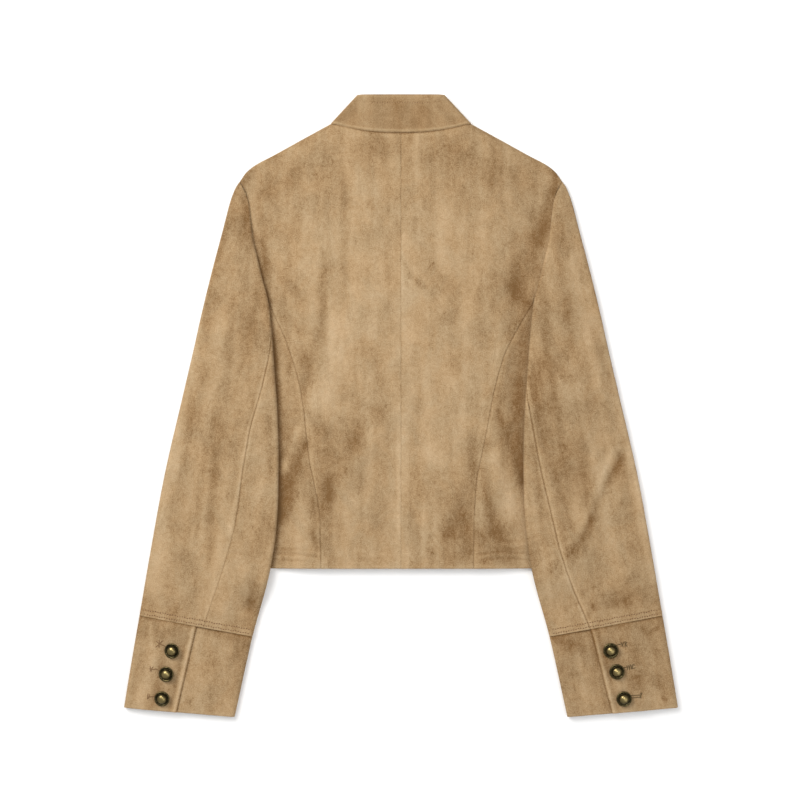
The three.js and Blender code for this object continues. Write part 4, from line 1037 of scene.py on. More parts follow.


# Tone: partly the nap's own patches, partly painted shade in the troughs, along the armholes and beside the sleeves'
# inner folds, and painted highlight on the ridges.
BODY_RELIEF = Relief(
    (
        Fold(((-26, -5), (-50, -30), (-70, -62), (-82, -95), (-90, -125), (-97, -155)), 11.0, -1.6, 0.2, -0.48),
        Fold(((-86, -30), (-92, -75), (-98, -110)), 14.0, 0, 0, -0.28),
        Fold(((-100, 4), (-64, -4)), 9.0, 0, 0, 0.22),
        Fold(((-13, -18), (-36, -45), (-59, -76), (-73, -111), (-78, -146)), 7.7, 0.9, 0, 0.14),
        Fold(((-84, -84), (-95, -119), (-100, -146)), 7.0, -0.4, 0, -0.2),
        Fold(((-94, -28), (-61, -38)), 15.5, -0.2, 0, -0.16),
        Fold(((-109, -45), (-121, -72), (-135, -105)), 5.8, -1.4, -0.2, -0.8),
        Fold(((-121, -28), (-130, -55), (-137, -76)), 3.9, 0.6, 0, 0.55),
        Fold(((-136, 78), (-125, 32), (-117, -3)), 7.7, -0.3, 0, -0.25),
        Fold(((-118, -94), (-112, -126)), 5.4, 0.5, 0, 0.22),
        Fold(((-106, -142), (-96, -165)), 4.3, -0.6, 0, -0.45),
        Fold(((-109, 55), (-104, 28)), 5.4, -0.4, 0, -0.38),
        Fold(((-92, 14), (-78, 60), (-76, 90)), 15.0, 0.2, 0, 0.42),
        Fold(((-32, 60), (-28, 20)), 12.0, 0, 0, -0.2),
        Fold(((-2, 190), (0, 110), (9, 40), (10, -10)), 9.0, 0, 0, 0.34),
        Fold(((18, 110), (22, 40), (36, -60)), 16.0, 0, 0, 0.18),
        Fold(((-42, 220), (-46, 170)), 12.0, 0, 0, 0.16),
        Fold(((-26, 300), (-8, 300)), 9.0, 0, 0, -0.16),
        Fold(((96, 176), (118, 150)), 16.0, 0, 0, -0.22),
        Fold(((-134, -8), (-134, -56)), 7.0, -0.4, 0, -0.42),
        Fold(((-121, -75), (-128, -100), (-138, -124)), 9.0, -0.9, 0, -0.62),
        Fold(((-84, 106), (-46, 129)), 23.2, 0.1, 0, 0.18),
        Fold(((-61, 187), (-51, 156)), 15.5, 0.1, 0, 0.12),
        Fold(((36, 179), (90, 164)), 19.3, 0.1, 0, 0.16),
        Fold(((47, 51), (78, 24)), 23.2, 0.1, 0, 0.16),
        Fold(((36, -49), (70, -65)), 14.7, 0.3, 0, 0.24),
        Fold(((176, 250), (172, 232), (165, 205)), 7.0, -0.5, 0, -0.42),
        Fold(((172, 226), (168, 205), (163, 188)), 4.5, -0.4, 0, -0.34),
        Fold(((156, 215), (146, 178), (138, 130)), 16.0, -0.5, 0, -0.62),
        Fold(((-130, -60), (-134, -86), (-128, -118)), 13.0, -0.3, 0, -0.22),
        Fold(((-106, 292), (-104, 262)), 16.0, 0, 0, 0.2),
        Fold(((8, 150), (10, 70)), 18.0, 0, 0, 0.16),
        Fold(((70, -180), (112, -178)), 9.0, 0, 0, -0.26),
        Fold(((-192, 258), (-176, 272)), 8.0, 0, 0, -0.3),
        Fold(((-149, 88), (-140, 6), (-138, -81), (-145, -173)), 3.0, -0.3, 0, -0.34),
        Fold(((-127, -34), (-130, -60)), 6.0, -0.2, 0, -0.36),
        Fold(((152, 190), (143, 165), (133, 142)), 12.0, -0.2, 0, -0.44),
        Fold(((128, 150), (122, 120)), 8.0, -0.1, 0, -0.2),
        Fold(((-88, 160), (-92, 92), (-101, 52), (-112, 20)), 7.0, -0.5, 0, -0.34),
        Fold(((-72, 96), (-76, 50), (-90, 6)), 9.0, 0.2, 0, 0.18),
        Fold(((113, -8), (124, -34), (134, -60), (143, -90)), 4.5, -0.9, 0, -0.46),
        Fold(((-126, -98), (-130, -122)), 6.0, -0.2, 0, -0.3),
        Fold(((-66, -142), (-64, -158)), 7.0, -0.1, 0, -0.26),
        Fold(((-65, -76), (-65, -92)), 6.0, -0.1, 0, -0.26),
        Fold(((-100, -142), (-98, -156)), 6.0, 0.2, 0, 0.24),
        Fold(((-42, -20), (-42, -36)), 7.0, 0.1, 0, 0.2),
        Fold(((-127, -92), (-113, -58)), 4.0, 0.3, 0, 0.26),
        Fold(((-71, 296), (-70, 274)), 8.0, 0, 0, 0.2),
        Fold(((-166, 268), (-160, 254)), 9.0, 0, 0, -0.22),
        Fold(((11, 314), (11, 264)), 5.0, -0.1, 0, -0.2),
        Fold(((102, 292), (104, 268)), 6.5, 0, 0, 0.28),
        Fold(((64, 50), (72, 12)), 5.5, -0.1, 0, -0.22),
        Fold(((100, -44), (106, -72)), 6.5, -0.2, 0, -0.36),
        Fold(((86, -44), (86, -58)), 6.0, 0.1, 0, 0.2),
        Fold(((34, -146), (34, -164)), 6.0, 0.1, 0, 0.26),
        Fold(((114, -112), (117, -132)), 6.0, 0.2, 0, 0.28),
        Fold(((169, 208), (165, 188)), 4.5, -0.2, 0, -0.36),
        Fold(((-182, 240), (-176, 216), (-169, 192)), 3.0, -0.3, 0, -0.4),
        Fold(((150, 115), (140, 60), (134, 10), (135, -30), (142, -84)), 11.0, -1.0, 0, -0.60),
        Fold(((118, 51), (113, 13)), 7.7, -0.3, 0, -0.3),
        Fold(((88, -45), (80, -90), (75, -130), (78, -165)), 12.0, -1.0, -0.2, -0.5),
        Fold(((92, -72), (99, -107), (110, -138), (122, -160)), 8.0, -1.1, 0, -0.5),
        Fold(((106, -60), (118, -90), (130, -124)), 8.5, 0.9, 0, 0.75),
        Fold(((70, -120), (58, -150)), 10.0, -0.4, 0, -0.25),
        Fold(((36, -120), (30, -180)), 12.0, 0, 0, 0.2),
        Fold(((104, -150), (118, -176)), 12.0, -0.2, 0, -0.3),
        Fold(((17, 71), (18, -14), (19, -187)), 4.6, -0.3, 0, -0.3),
        Fold(((35, -130), (36, -187)), 3.1, -0.2, 0, -0.25),
        Fold(((26, -134), (28, -184)), 2.7, 0.2, 0, 0.18),
        Fold(((79, -142), (72, -184)), 10.1, -0.3, 0, -0.28),
        Fold(((0, 171), (12, 151), (28, 137)), 2.3, -0.3, 0, -0.45),
        Fold(((36, 164), (49, 144)), 1.9, -0.2, 0, -0.25),
        Fold(((-150, 164), (-133, 144), (-115, 125)), 7.7, -0.3, 0, -0.36),
        Fold(((-162, 191), (-155, 156), (-149, 121)), 5.0, -0.4, 0, -0.42),
        Fold(((-131, 102), (-115, 84)), 6.2, -0.2, 0, -0.25),
        Fold(((-90, 177), (-89, 151)), 2.7, -0.2, 0, -0.42),
        Fold(((-91, 125), (-100, 78)), 5.4, -0.3, 0, -0.26),
        Fold(((-69, 256), (-65, 233)), 5.0, -0.2, 0, -0.32),
        Fold(((-15, 268), (-17, 218)), 3.1, -0.1, 0, -0.22),
        Fold(((-22, 210), (-26, 171)), 4.6, -0.2, 0, -0.22),
        Fold(((-84, 300), (-38, 297), (20, 297), (80, 298)), 20.0, 0, 0, -0.26),
        Fold(((60, 280), (110, 272), (165, 256)), 26.0, 0, 0, -0.34),
        Fold(((-178, 246), (-150, 255), (-112, 270)), 22.0, 0, 0, -0.34),
        Fold(((-150, 222), (-142, 196)), 15.0, 0, 0, -0.24),
        Fold(((-106, 130), (-108, 110)), 12.0, 0, 0, -0.2),
        Fold(((-188, 264), (-150, 291), (-88, 325)), 7.0, 0, 0, -0.34),
        Fold(((188, 264), (150, 291), (88, 325)), 7.0, 0, 0, -0.24),
        Fold(((50, 262), (70, 240)), 18.0, 0, 0, -0.24),
        Fold(((76, 60), (80, 10)), 13.0, 0, 0, -0.26),
        Fold(((112, 0), (114, -40)), 12.0, 0, 0, -0.34),
        Fold(((-45, 215), (-44, 150), (-60, 90)), 26.0, 0, 0, 0.20),
        Fold(((30, 170), (22, 90)), 22.0, 0, 0, 0.16),
        Fold(((128, 225), (132, 187)), 5.8, -0.3, 0, -0.22),
        Fold(((-61, -134), (-30, -142)), 15.5, 0, 0, -0.1),
        Fold(((-148, -165), (-122, -167), (-104, -166)), 1.8, -0.4, 0, -0.24),
        Fold(((-148, -171), (-118, -172), (-98, -175)), 2.0, -0.6, 0, -0.36),
        Fold(((-146, -178), (-112, -180)), 1.7, -0.45, 0, -0.28),
        Fold(((98, -164), (122, -166), (146, -165)), 1.8, -0.45, 0, -0.32),
        Fold(((92, -171), (116, -169), (148, -171)), 2.0, -0.6, 0, -0.44),
        Fold(((96, -178), (124, -176), (148, -179)), 1.7, -0.45, 0, -0.34),
        Fold(((88, -146), (98, -154), (92, -163)), 2.2, -0.4, 0, -0.34),
        Fold(((104, -146), (112, -156), (126, -158)), 2.0, -0.3, 0, -0.28),
        Fold(((26, -144), (34, -152), (40, -146)), 2.2, -0.3, 0, -0.34),
        Fold(((44, -140), (52, -152), (60, -146)), 2.4, -0.3, 0, -0.32),
        Fold(((-90, -176), (-40, -178), (20, -176), (82, -177)), 3.0, -0.15, 0, -0.05),
    )
)
# Tone: partly the nap's own patches, partly painted light: a painted sheen band just inside each outer fold, painted
# shade along the inner folds, the armhole line and the troughs, and painted highlight on the ridges.
SLEEVE_RELIEF = {
    Side.LEFT: Relief(
        (
            Fold(((-238, 90), (-260, -41), (-291, -208)), 8.0, 0, 0, 0.4),
            Fold(((-188, 245), (-208, 175), (-222, 110)), 17.0, 0, 0, -0.34),
            Fold(((-182, 240), (-176, 216), (-169, 192)), 3.0, -0.3, 0, -0.3),
            Fold(((-166, -225), (-176, -250)), 8.0, -0.3, 0, -0.36),
            Fold(((-222, 120), (-250, -40), (-278, -236)), 90.0, 0, 0, -0.09),
            Fold(((-214, -30), (-224, -96)), 11.0, 0, 0, -0.2),
            Fold(((-224, -80), (-230, -150), (-234, -206)), 4.5, 0.2, 0, 0.34),
            Fold(((-212, -40), (-217, -100), (-221, -180)), 5.0, -0.2, 0, -0.26),
            Fold(((-228, 124), (-234, 100)), 5.0, 0, 0, 0.28),
            Fold(((-224, 98), (-230, 78)), 6.0, 0, 0, -0.24),
            Fold(((-178, 215), (-182, 150)), 14.0, 0, 0, -0.26),
            Fold(((-170, -90), (-184, -160)), 16.0, 0, 0, -0.16),
            Fold(((-196, 125), (-169, 78)), 17.8, -0.3, 0, -0.24),
            Fold(((-212, -14), (-202, -53)), 9.3, -0.4, 0, -0.32),
            Fold(((-243, 13), (-249, -38)), 5.8, -0.2, 0, -0.2),
            Fold(((-177, -30), (-188, -92), (-199, -148)), 3.1, 0.5, 0, 0.42),
            Fold(((-184, -92), (-192, -144)), 1.9, -0.3, 0, -0.22),
            Fold(((-169, -208), (-177, -235)), 5.0, -0.7, 0, -0.55),
            Fold(((-234, -107), (-235, -142)), 4.3, -0.3, 0, -0.22),
            Fold(((-264, -105), (-269, -142)), 3.1, -0.3, 0, -0.2),
            Fold(((-158, 125), (-150, 63)), 5.0, -0.3, 0, -0.2),
            Fold(((-181, 225), (-176, 187), (-165, 156)), 4.3, -0.4, 0, -0.18),
            Fold(((-153, -14), (-148, -111), (-153, -161)), 3.5, -0.3, 0, -0.28),
            Fold(((-254, -177), (-239, -200)), 10.8, -0.1, 0, -0.14),
            Fold(((-216, 44), (-227, 1)), 11.6, 0.3, 0, 0.18),
            Fold(((-204, -188), (-223, -231)), 7.7, 0.3, 0, 0.16),
            Fold(((-200, 179), (-208, 133)), 8.5, 0.2, 0, 0.1),
            Fold(((-179, 32), (-169, -7)), 5.4, -0.3, 0, -0.16),
        )
    ),
    Side.RIGHT: Relief(
        (
            Fold(((232, 110), (259, -18), (295, -200)), 8.0, 0, 0, 0.45),
            Fold(((180, 245), (186, 190)), 14.0, 0, 0, -0.35),
            Fold(((166, 160), (168, 130)), 13.0, 0, 0, -0.3),
            Fold(((252, -80), (262, -125)), 16.0, 0, 0, -0.26),
            Fold(((176, -70), (186, -130), (192, -180)), 14.0, 0, 0, -0.24),
            Fold(((167, 106), (176, 20), (196, -75)), 17.0, 0, 0, -0.26),
            Fold(((257, -60), (248, -76), (240, -89)), 4.3, -0.7, 0, -0.5),
            Fold(((214, 90), (226, 30)), 14.0, 0, 0, 0.24),
            Fold(((190, 60), (226, -60), (250, -236)), 90.0, 0, 0, -0.08),
            Fold(((232, -224), (296, -230)), 11.0, 0, 0, -0.26),
            Fold(((222.5, -231), (223, -234)), 2.4, -0.3, 0, -0.7),
            Fold(((152, 40), (156, -60), (164, -160)), 4.5, -0.2, 0, -0.28),
            Fold(((182, 150), (200, 60)), 5.0, -0.1, 0, -0.2),
            Fold(((244, -54), (232, -82)), 4.0, 0.4, 0, 0.34),
            Fold(((216, -152), (211, -168)), 4.5, -0.4, 0, -0.4),
            Fold(((203, -110), (201, -130)), 5.0, 0.1, 0, 0.26),
            Fold(((217, -241), (217.5, -246)), 2.0, -0.2, 0, -0.55),
            Fold(((262, -42), (238, -95), (211, -153)), 5.0, -0.6, 0, -0.2),
            Fold(((250, -44), (226, -100), (204, -150)), 5.0, 0.5, 0, 0.2),
            Fold(((222, -132), (210, -154), (200, -170)), 5.0, -1.0, 0, -0.6),
            Fold(((156, 32), (161, -14), (167, -53)), 6.6, -0.4, 0, -0.32),
            Fold(((190, 71), (183, 40)), 10.1, -0.2, 0, -0.22),
            Fold(((210, -72), (217, -111)), 7.7, -0.3, 0, -0.22),
            Fold(((183, 218), (188, 171)), 7.7, -0.3, 0, -0.16),
            Fold(((225, -184), (248, -223)), 10.8, -0.2, 0, -0.2),
            Fold(((271, -219), (248, -231)), 5.0, -0.3, 0, -0.32),
            Fold(((217, 133), (225, 94)), 10.1, 0.2, 0, 0.16),
            Fold(((186, -169), (198, -208)), 6.2, 0.2, 0, 0.14),
            Fold(((230, -38), (221, -84)), 6.6, 0.3, 0, 0.18),
            Fold(((171, 125), (167, 78)), 6.6, -0.2, 0, -0.14),
            Fold(((233, 71), (241, 24)), 11.6, -0.2, 0, -0.15),
            Fold(((171, -57), (186, -103), (199, -142)), 3.1, -0.2, 0, -0.16),
        )
    ),
}
# Tone: partly the nap's own patches, partly painted shade in the creases and troughs and painted highlight on the
# ridges.
CUFF_RELIEF = {
    Side.LEFT: Relief(
        (
            Fold(((-301, -262), (-262, -264)), 7.7, 0, 0, -0.34),
            Fold(((-288, -293), (-304, -343)), 5.4, 0.2, 0, 0.2),
            Fold(((-275, -266), (-288, -347)), 3.1, -0.3, 0, -0.2),
            Fold(((-204, -268), (-177, -279)), 5.8, -0.2, 0, -0.28),
            Fold(((-250, -270), (-264, -350)), 3.5, -0.2, 0, -0.18),
            Fold(((-216, -300), (-227, -335)), 11.6, 0.2, 0, 0.12),
            Fold(((-193, -285), (-198, -308)), 5.4, -0.1, 0, -0.16),
            Fold(((-291, -252), (-289, -280)), 2.4, 0.2, 0, 0.3),
            Fold(((-283, -254), (-279, -278)), 5.5, -0.1, 0, -0.22),
            Fold(((-187, -283), (-185, -291)), 4.0, 0, 0, -0.4),
        )
    ),
    Side.RIGHT: Relief(
        (
            Fold(((200, -290), (280, -300)), 40.0, 0, 0, -0.25),
            Fold(((173, -270), (210, -281)), 6.6, -0.2, 0, -0.38),
            Fold(((283, -258), (295, -285)), 7.0, -0.2, 0, -0.4),
            Fold(((190, -308), (203, -343)), 8.5, -0.1, 0, -0.14),
            Fold(((295, -312), (302, -328)), 5.0, -0.2, 0, -0.28),
            Fold(((279, -339), (310, -343)), 5.4, 0.2, 0, 0.12),
            Fold(((226, -262), (244, -351)), 3.1, -0.1, 0, -0.14),
            Fold(((202, -285), (221, -343)), 6.2, 0.1, 0, 0.1),
            Fold(((250, -250), (250, -350)), 90.0, 0, 0, -0.12),
            Fold(((281, -260), (286, -265), (297, -257)), 2.8, -0.2, 0, -0.5),
            Fold(((304, -339), (307, -341)), 2.6, -0.1, 0, -0.6),
            Fold(((288, -319), (301, -326)), 2.4, -0.1, 0, -0.34),
            Fold(((266, -317), (281, -313)), 1.8, -0.3, 0, -0.42),
            Fold(((179, -270), (197, -281)), 3.2, -0.1, 0, -0.24),
            Fold(((220, -264), (228, -290)), 4.4, -0.1, 0, -0.36),
            Fold(((262, -246), (286, -243)), 1.8, 0, 0, -0.4),
            Fold(((252, -282), (262, -292)), 4.0, 0.1, 0, 0.26),
            Fold(((262, -300), (274, -304)), 4.0, 0.1, 0, 0.24),
        )
    ),
}


@dataclass(frozen=True)
class Suede:
    """Tan napped suede: colours in linear light, and the nap's pattern per metre."""

    pale: tuple[float, float, float] = (0.527, 0.380, 0.232)
    base: tuple[float, float, float] = (0.370, 0.249, 0.133)
    deep: tuple[float, float, float] = (0.173, 0.091, 0.034)
    warm: tuple[float, float, float] = (1.00, 0.975, 0.935)
    cool: tuple[float, float, float] = (0.965, 0.990, 1.005)
    blotch: float = 11.0
    mottle: float = 52.0
    streak: float = 34.0
    scuff: float = 24.0
    grain: float = 780.0
    sheen: float = 0.16
    contrast: float = 1.0


@dataclass(frozen=True)
class Thread:
    """Sewing thread, and the colour of the dark discs at the needle holes it pulls, which paint the holes' shade."""

    colour: tuple[float, float, float] = (0.345, 0.215, 0.100)
    buttonhole_left: tuple[float, float, float] = (0.200, 0.105, 0.040)
    buttonhole_right: tuple[float, float, float] = (0.110, 0.066, 0.020)
    # hole: colour of the discs at the needle holes, painted shade of the holes and the thread
    hole: tuple[float, float, float] = (0.135, 0.062, 0.022)
    roughness: float = 0.7


@dataclass(frozen=True)
class Brass:
    """Antique brass: bright on the dome and dark in the hollow of the rim."""

    bright: tuple[float, float, float] = (0.300, 0.232, 0.098)
    dark: tuple[float, float, float] = (0.030, 0.024, 0.011)
    roughness: float = 0.22


class Nodes:
    """Short way to build a node tree."""

    def __init__(self, tree: bpy.types.NodeTree) -> None:
        self.tree = tree

    def add(self, kind: str, **values) -> bpy.types.Node:
        """Adds a node; values are its properties, or its inputs by name or number."""
        node = self.tree.nodes.new(kind)
        for key, value in values.items():
            if hasattr(node, key):
                setattr(node, key, value)
            else:
                node.inputs[key.replace("_", " ")].default_value = value
        return node

    def link(self, out, into) -> None:
        """Joins an output socket to an input socket."""
        self.tree.links.new(out, into)

    def math(self, operation: str, a, b=0.0, clamp: bool = False):
        """Math node's output for sockets or numbers a and b."""
        node = self.tree.nodes.new("ShaderNodeMath")
        node.operation = operation
        node.use_clamp = clamp
        for socket, value in zip(node.inputs, (a, b)):
            if isinstance(value, (int, float)):
                socket.default_value = value
            else:
                self.link(value, socket)
        return node.outputs[0]

    def noise(self, vector, scale: float, detail: float, rough: float, distortion: float = 0.0):
        """Noise texture's value at a vector."""
        node = self.add("ShaderNodeTexNoise", Scale=scale, Detail=detail, Roughness=rough, Distortion=distortion)
        self.link(vector, node.inputs["Vector"])
        return node.outputs["Fac"]

    def stretch(self, vector, x: float, y: float, shift: float = 0.0):
        """The vector stretched by x and y, and shifted."""
        node = self.tree.nodes.new("ShaderNodeMapping")
        node.inputs["Scale"].default_value = (x, y, 1.0)
        node.inputs["Location"].default_value = (shift, shift * 0.7, 0.0)
        self.link(vector, node.inputs["Vector"])
        return node.outputs["Vector"]

    def levels(self, value, low: float, high: float, to_low: float = 0.0, to_high: float = 1.0):
        """The value's range low to high mapped smoothly to another."""
        node = self.tree.nodes.new("ShaderNodeMapRange")
        node.interpolation_type = "SMOOTHSTEP"
        for name, number in (("From Min", low), ("From Max", high), ("To Min", to_low), ("To Max", to_high)):
            node.inputs[name].default_value = number
        self.link(value, node.inputs["Value"])
        return node.outputs["Result"]


def new_material(name: str) -> tuple[bpy.types.Material, Nodes, bpy.types.Node]:
    """A material with one Principled shader."""
    material = bpy.data.materials.new(name)
    material.use_nodes = True
    nodes = Nodes(material.node_tree)
    return material, nodes, material.node_tree.nodes["Principled BSDF"]


def nap_group(look: Suede) -> bpy.types.NodeTree:
    """Node group that gives lightness and height from the cloth's own coordinates: the nap's noise, plus the Tone
    input, which brings painted shade and highlight.
    """
    group = bpy.data.node_groups.new("nap", "ShaderNodeTree")
    group.interface.new_socket("Vector", in_out="INPUT", socket_type="NodeSocketVector")
    group.interface.new_socket("Tone", in_out="INPUT", socket_type="NodeSocketFloat")
    group.interface.new_socket("Lightness", in_out="OUTPUT", socket_type="NodeSocketFloat")
    group.interface.new_socket("Height", in_out="OUTPUT", socket_type="NodeSocketFloat")
    group.interface.new_socket("Warmth", in_out="OUTPUT", socket_type="NodeSocketFloat")
    nodes = Nodes(group)
    given = group.nodes.new("NodeGroupInput")
    result = group.nodes.new("NodeGroupOutput")
    vector = given.outputs["Vector"]
    blotch = nodes.noise(nodes.stretch(vector, 1.0, 0.55, 5.3), look.blotch, 4.0, 0.55, 0.5)
    mottle = nodes.noise(nodes.stretch(vector, 1.0, 0.70), look.mottle, 5.0, 0.62, 0.3)
    streak = nodes.noise(nodes.stretch(vector, 1.7, 0.20, 3.1), look.streak, 2.0, 0.5, 0.2)
    scuff = nodes.noise(nodes.stretch(vector, 1.0, 0.7, 7.7), look.scuff, 7.0, 0.68, 0.9)
    grain = nodes.noise(vector, look.grain, 2.0, 0.6)
    speck = nodes.noise(nodes.stretch(vector, 1.0, 0.8, 1.3), look.grain * 0.33, 2.0, 0.7)
    dark = nodes.levels(scuff, 0.56, 0.70)
    light = nodes.levels(scuff, 0.45, 0.30)
    total = nodes.math("MULTIPLY", nodes.math("SUBTRACT", blotch, 0.5), 0.42)
    marks = nodes.noise(nodes.stretch(vector, 1.0, 0.6, 4.4), look.grain * 0.22, 4.0, 0.8, 0.8)
    marks = nodes.math("MULTIPLY", nodes.levels(marks, 0.54, 0.64), nodes.levels(scuff, 0.46, 0.60))
    for value, weight in ((mottle, 0.66), (streak, 0.62), (grain, 0.92), (speck, 0.52)):
        total = nodes.math("ADD", total, nodes.math("MULTIPLY", nodes.math("SUBTRACT", value, 0.5), weight))
    total = nodes.math("SUBTRACT", total, nodes.math("MULTIPLY", dark, 0.10))
    total = nodes.math("SUBTRACT", total, nodes.math("MULTIPLY", marks, 0.17))
    total = nodes.math("ADD", total, nodes.math("MULTIPLY", light, 0.07))
    total = nodes.math("MULTIPLY", total, look.contrast)
    # Tone brings in the painted shade and highlight of the folds, seams and edges.
    total = nodes.math("ADD", total, nodes.math("MULTIPLY", given.outputs["Tone"], 0.50))
    nodes.link(nodes.math("ADD", total, 0.5, clamp=True), result.inputs["Lightness"])
    height = nodes.math("ADD", nodes.math("MULTIPLY", grain, 0.35), nodes.math("MULTIPLY", speck, 0.4))
    height = nodes.math("ADD", height, nodes.math("MULTIPLY", mottle, 0.9))
    nodes.link(height, result.inputs["Height"])
    warmth = nodes.noise(nodes.stretch(vector, 1.0, 0.6, 9.1), look.mottle * 0.6, 5.0, 0.7, 0.4)
    nodes.link(nodes.levels(warmth, 0.34, 0.66), result.inputs["Warmth"])
    return group


def suede_material(look: Suede, name: str) -> bpy.types.Material:
    """Suede by the cloth's UV and the attribute "tone"."""
    material, nodes, shader = new_material(name)
    coordinates = nodes.add("ShaderNodeUVMap", uv_map="cloth")
    tone = nodes.add("ShaderNodeAttribute", attribute_name="tone")
    nap = nodes.tree.nodes.new("ShaderNodeGroup")
    nap.node_tree = nap_group(look)
    nodes.link(coordinates.outputs["UV"], nap.inputs["Vector"])
    nodes.link(tone.outputs["Fac"], nap.inputs["Tone"])
    ramp = nodes.tree.nodes.new("ShaderNodeValToRGB")
    ramp.color_ramp.elements[0].color = (*look.deep, 1.0)
    ramp.color_ramp.elements[1].color = (*look.pale, 1.0)
    middle = ramp.color_ramp.elements.new(0.5)
    middle.color = (*look.base, 1.0)
    nodes.link(nap.outputs["Lightness"], ramp.inputs["Fac"])
    tint = nodes.add("ShaderNodeMix", data_type="RGBA")
    tint.inputs["A"].default_value = (*look.cool, 1.0)
    tint.inputs["B"].default_value = (*look.warm, 1.0)
    nodes.link(nap.outputs["Warmth"], tint.inputs["Factor"])
    dyed = nodes.add("ShaderNodeMix", data_type="RGBA", blend_type="MULTIPLY")
    dyed.inputs["Factor"].default_value = 1.0
    nodes.link(ramp.outputs["Color"], dyed.inputs["A"])
    nodes.link(tint.outputs["Result"], dyed.inputs["B"])
    nodes.link(dyed.outputs["Result"], shader.inputs["Base Color"])
    bump = nodes.add("ShaderNodeBump", Strength=0.5, Distance=0.0006)
    nodes.link(nap.outputs["Height"], bump.inputs["Height"])
    nodes.link(bump.outputs["Normal"], shader.inputs["Normal"])
    shader.inputs["Roughness"].default_value = 0.95
    shader.inputs["Specular IOR Level"].default_value = 0.12
    shader.inputs["Sheen Weight"].default_value = look.sheen
    shader.inputs["Sheen Roughness"].default_value = 0.45
    shader.inputs["Sheen Tint"].default_value = (*look.base, 1.0)
    return material


def thread_material(look: Thread, colour: tuple[float, float, float], name: str) -> bpy.types.Material:
    """Thread with a fine twist."""
    material, nodes, shader = new_material(name)
    place = nodes.add("ShaderNodeTexCoord")
    twist = nodes.noise(place.outputs["Object"], 2600.0, 2.0, 0.5)
    mixer = nodes.add("ShaderNodeMix", data_type="RGBA")
    mixer.inputs["A"].default_value = (*[0.75 * c for c in colour], 1.0)
    mixer.inputs["B"].default_value = (*[1.2 * c for c in colour], 1.0)
    nodes.link(twist, mixer.inputs["Factor"])
    nodes.link(mixer.outputs["Result"], shader.inputs["Base Color"])
    shader.inputs["Roughness"].default_value = look.roughness
    return material


def brass_material(look: Brass) -> bpy.types.Material:
    """Antique brass, darker where the attribute "patina" is 1."""
    material, nodes, shader = new_material("antique_brass")
    place = nodes.add("ShaderNodeTexCoord")
    patina = nodes.add("ShaderNodeAttribute", attribute_name="patina")
    cloudy = nodes.noise(place.outputs["Object"], 420.0, 4.0, 0.6)
    amount = nodes.math("ADD", patina.outputs["Fac"], nodes.math("MULTIPLY", nodes.math("SUBTRACT", cloudy, 0.5), 0.9), True)
    mixer = nodes.add("ShaderNodeMix", data_type="RGBA")
    mixer.inputs["A"].default_value = (*look.bright, 1.0)
    mixer.inputs["B"].default_value = (*look.dark, 1.0)
    nodes.link(amount, mixer.inputs["Factor"])
    nodes.link(mixer.outputs["Result"], shader.inputs["Base Color"])
    rough = nodes.math("ADD", look.roughness, nodes.math("MULTIPLY", cloudy, 0.16))
    nodes.link(rough, shader.inputs["Roughness"])
    shader.inputs["Metallic"].default_value = 1.0
    return material


def mesh_object(name: str, vertices: Array, faces: Array, material: bpy.types.Material) -> bpy.types.Object:
    """Smooth mesh object at the origin from vertices in metres and faces."""
    mesh = bpy.data.meshes.new(name)
    mesh.from_pydata(vertices.tolist(), [], faces.tolist())
    mesh.update()
    mesh.shade_smooth()
    mesh.materials.append(material)
    made = bpy.data.objects.new(name, mesh)
    bpy.context.scene.collection.objects.link(made)
    return made


@dataclass(frozen=True)
class Bead:
    """A small closed ellipsoid that stands for one stitch or one needle hole."""

    around: int = 8
    rings: int = 5

    def template(self) -> tuple[Array, Array]:
        """Unit ellipsoid's vertices and faces."""
        polar = np.linspace(0, np.pi, self.rings + 2)[1:-1]
        turn = np.linspace(0, 2 * np.pi, self.around, endpoint=False)
        p, t = np.meshgrid(polar, turn, indexing="ij")
        body = np.stack([np.cos(p), np.sin(p) * np.cos(t), np.sin(p) * np.sin(t)], -1).reshape(-1, 3)
        vertices = np.concatenate([[[1.0, 0, 0]], body, [[-1.0, 0, 0]]])
        faces = []
        n = self.around
        for i in range(n):
            j = (i + 1) % n
            faces.append((0, 1 + i, 1 + j))
            for r in range(self.rings - 1):
                a, b = 1 + r * n + i, 1 + r * n + j
                faces.append((a, a + n, b + n))
                faces.append((a, b + n, b))
            base = 1 + (self.rings - 1) * n
            faces.append((len(vertices) - 1, base + j, base + i))
        return vertices, np.array(faces)

    def many(self, centres: Array, forward: Array, up: Array, sizes: Array) -> tuple[Array, Array]:
        """Ellipsoids at centres along forward, with (length, width, height) half sizes."""
        vertices, faces = self.template()
        sideways = np.cross(up, forward)
        sideways /= np.linalg.norm(sideways, axis=1, keepdims=True)
        lift = np.cross(forward, sideways)
        axes = np.stack([forward, sideways, lift], axis=1) * sizes[:, :, None]
        all_vertices = np.einsum("vi,nij->nvj", vertices, axes) + centres[:, None, :]
        offsets = (np.arange(len(centres)) * len(vertices))[:, None, None]
        return all_vertices.reshape(-1, 3), (faces[None] + offsets).reshape(-1, 3)


class Ground:
    """Finds the cloth's outer surface straight below a point."""

    def __init__(self, pieces: list[bpy.types.Object]) -> None:
        bpy.context.view_layer.update()
        self.pieces = pieces

    def under(self, x: float, y: float) -> tuple[Vector, Vector]:
        """Highest point of the cloth at (x, y) in millimetres, and its normal."""
        best, normal = Vector((x * MM, y * MM, 0.0)), Vector((0, 0, 1))
        for piece in self.pieces:
            hit, place, facing, _ = piece.ray_cast(Vector((x * MM, y * MM, 0.1)), Vector((0, 0, -1)))
            if hit and place.z > best.z:
                best, normal = place, facing
        return best, normal


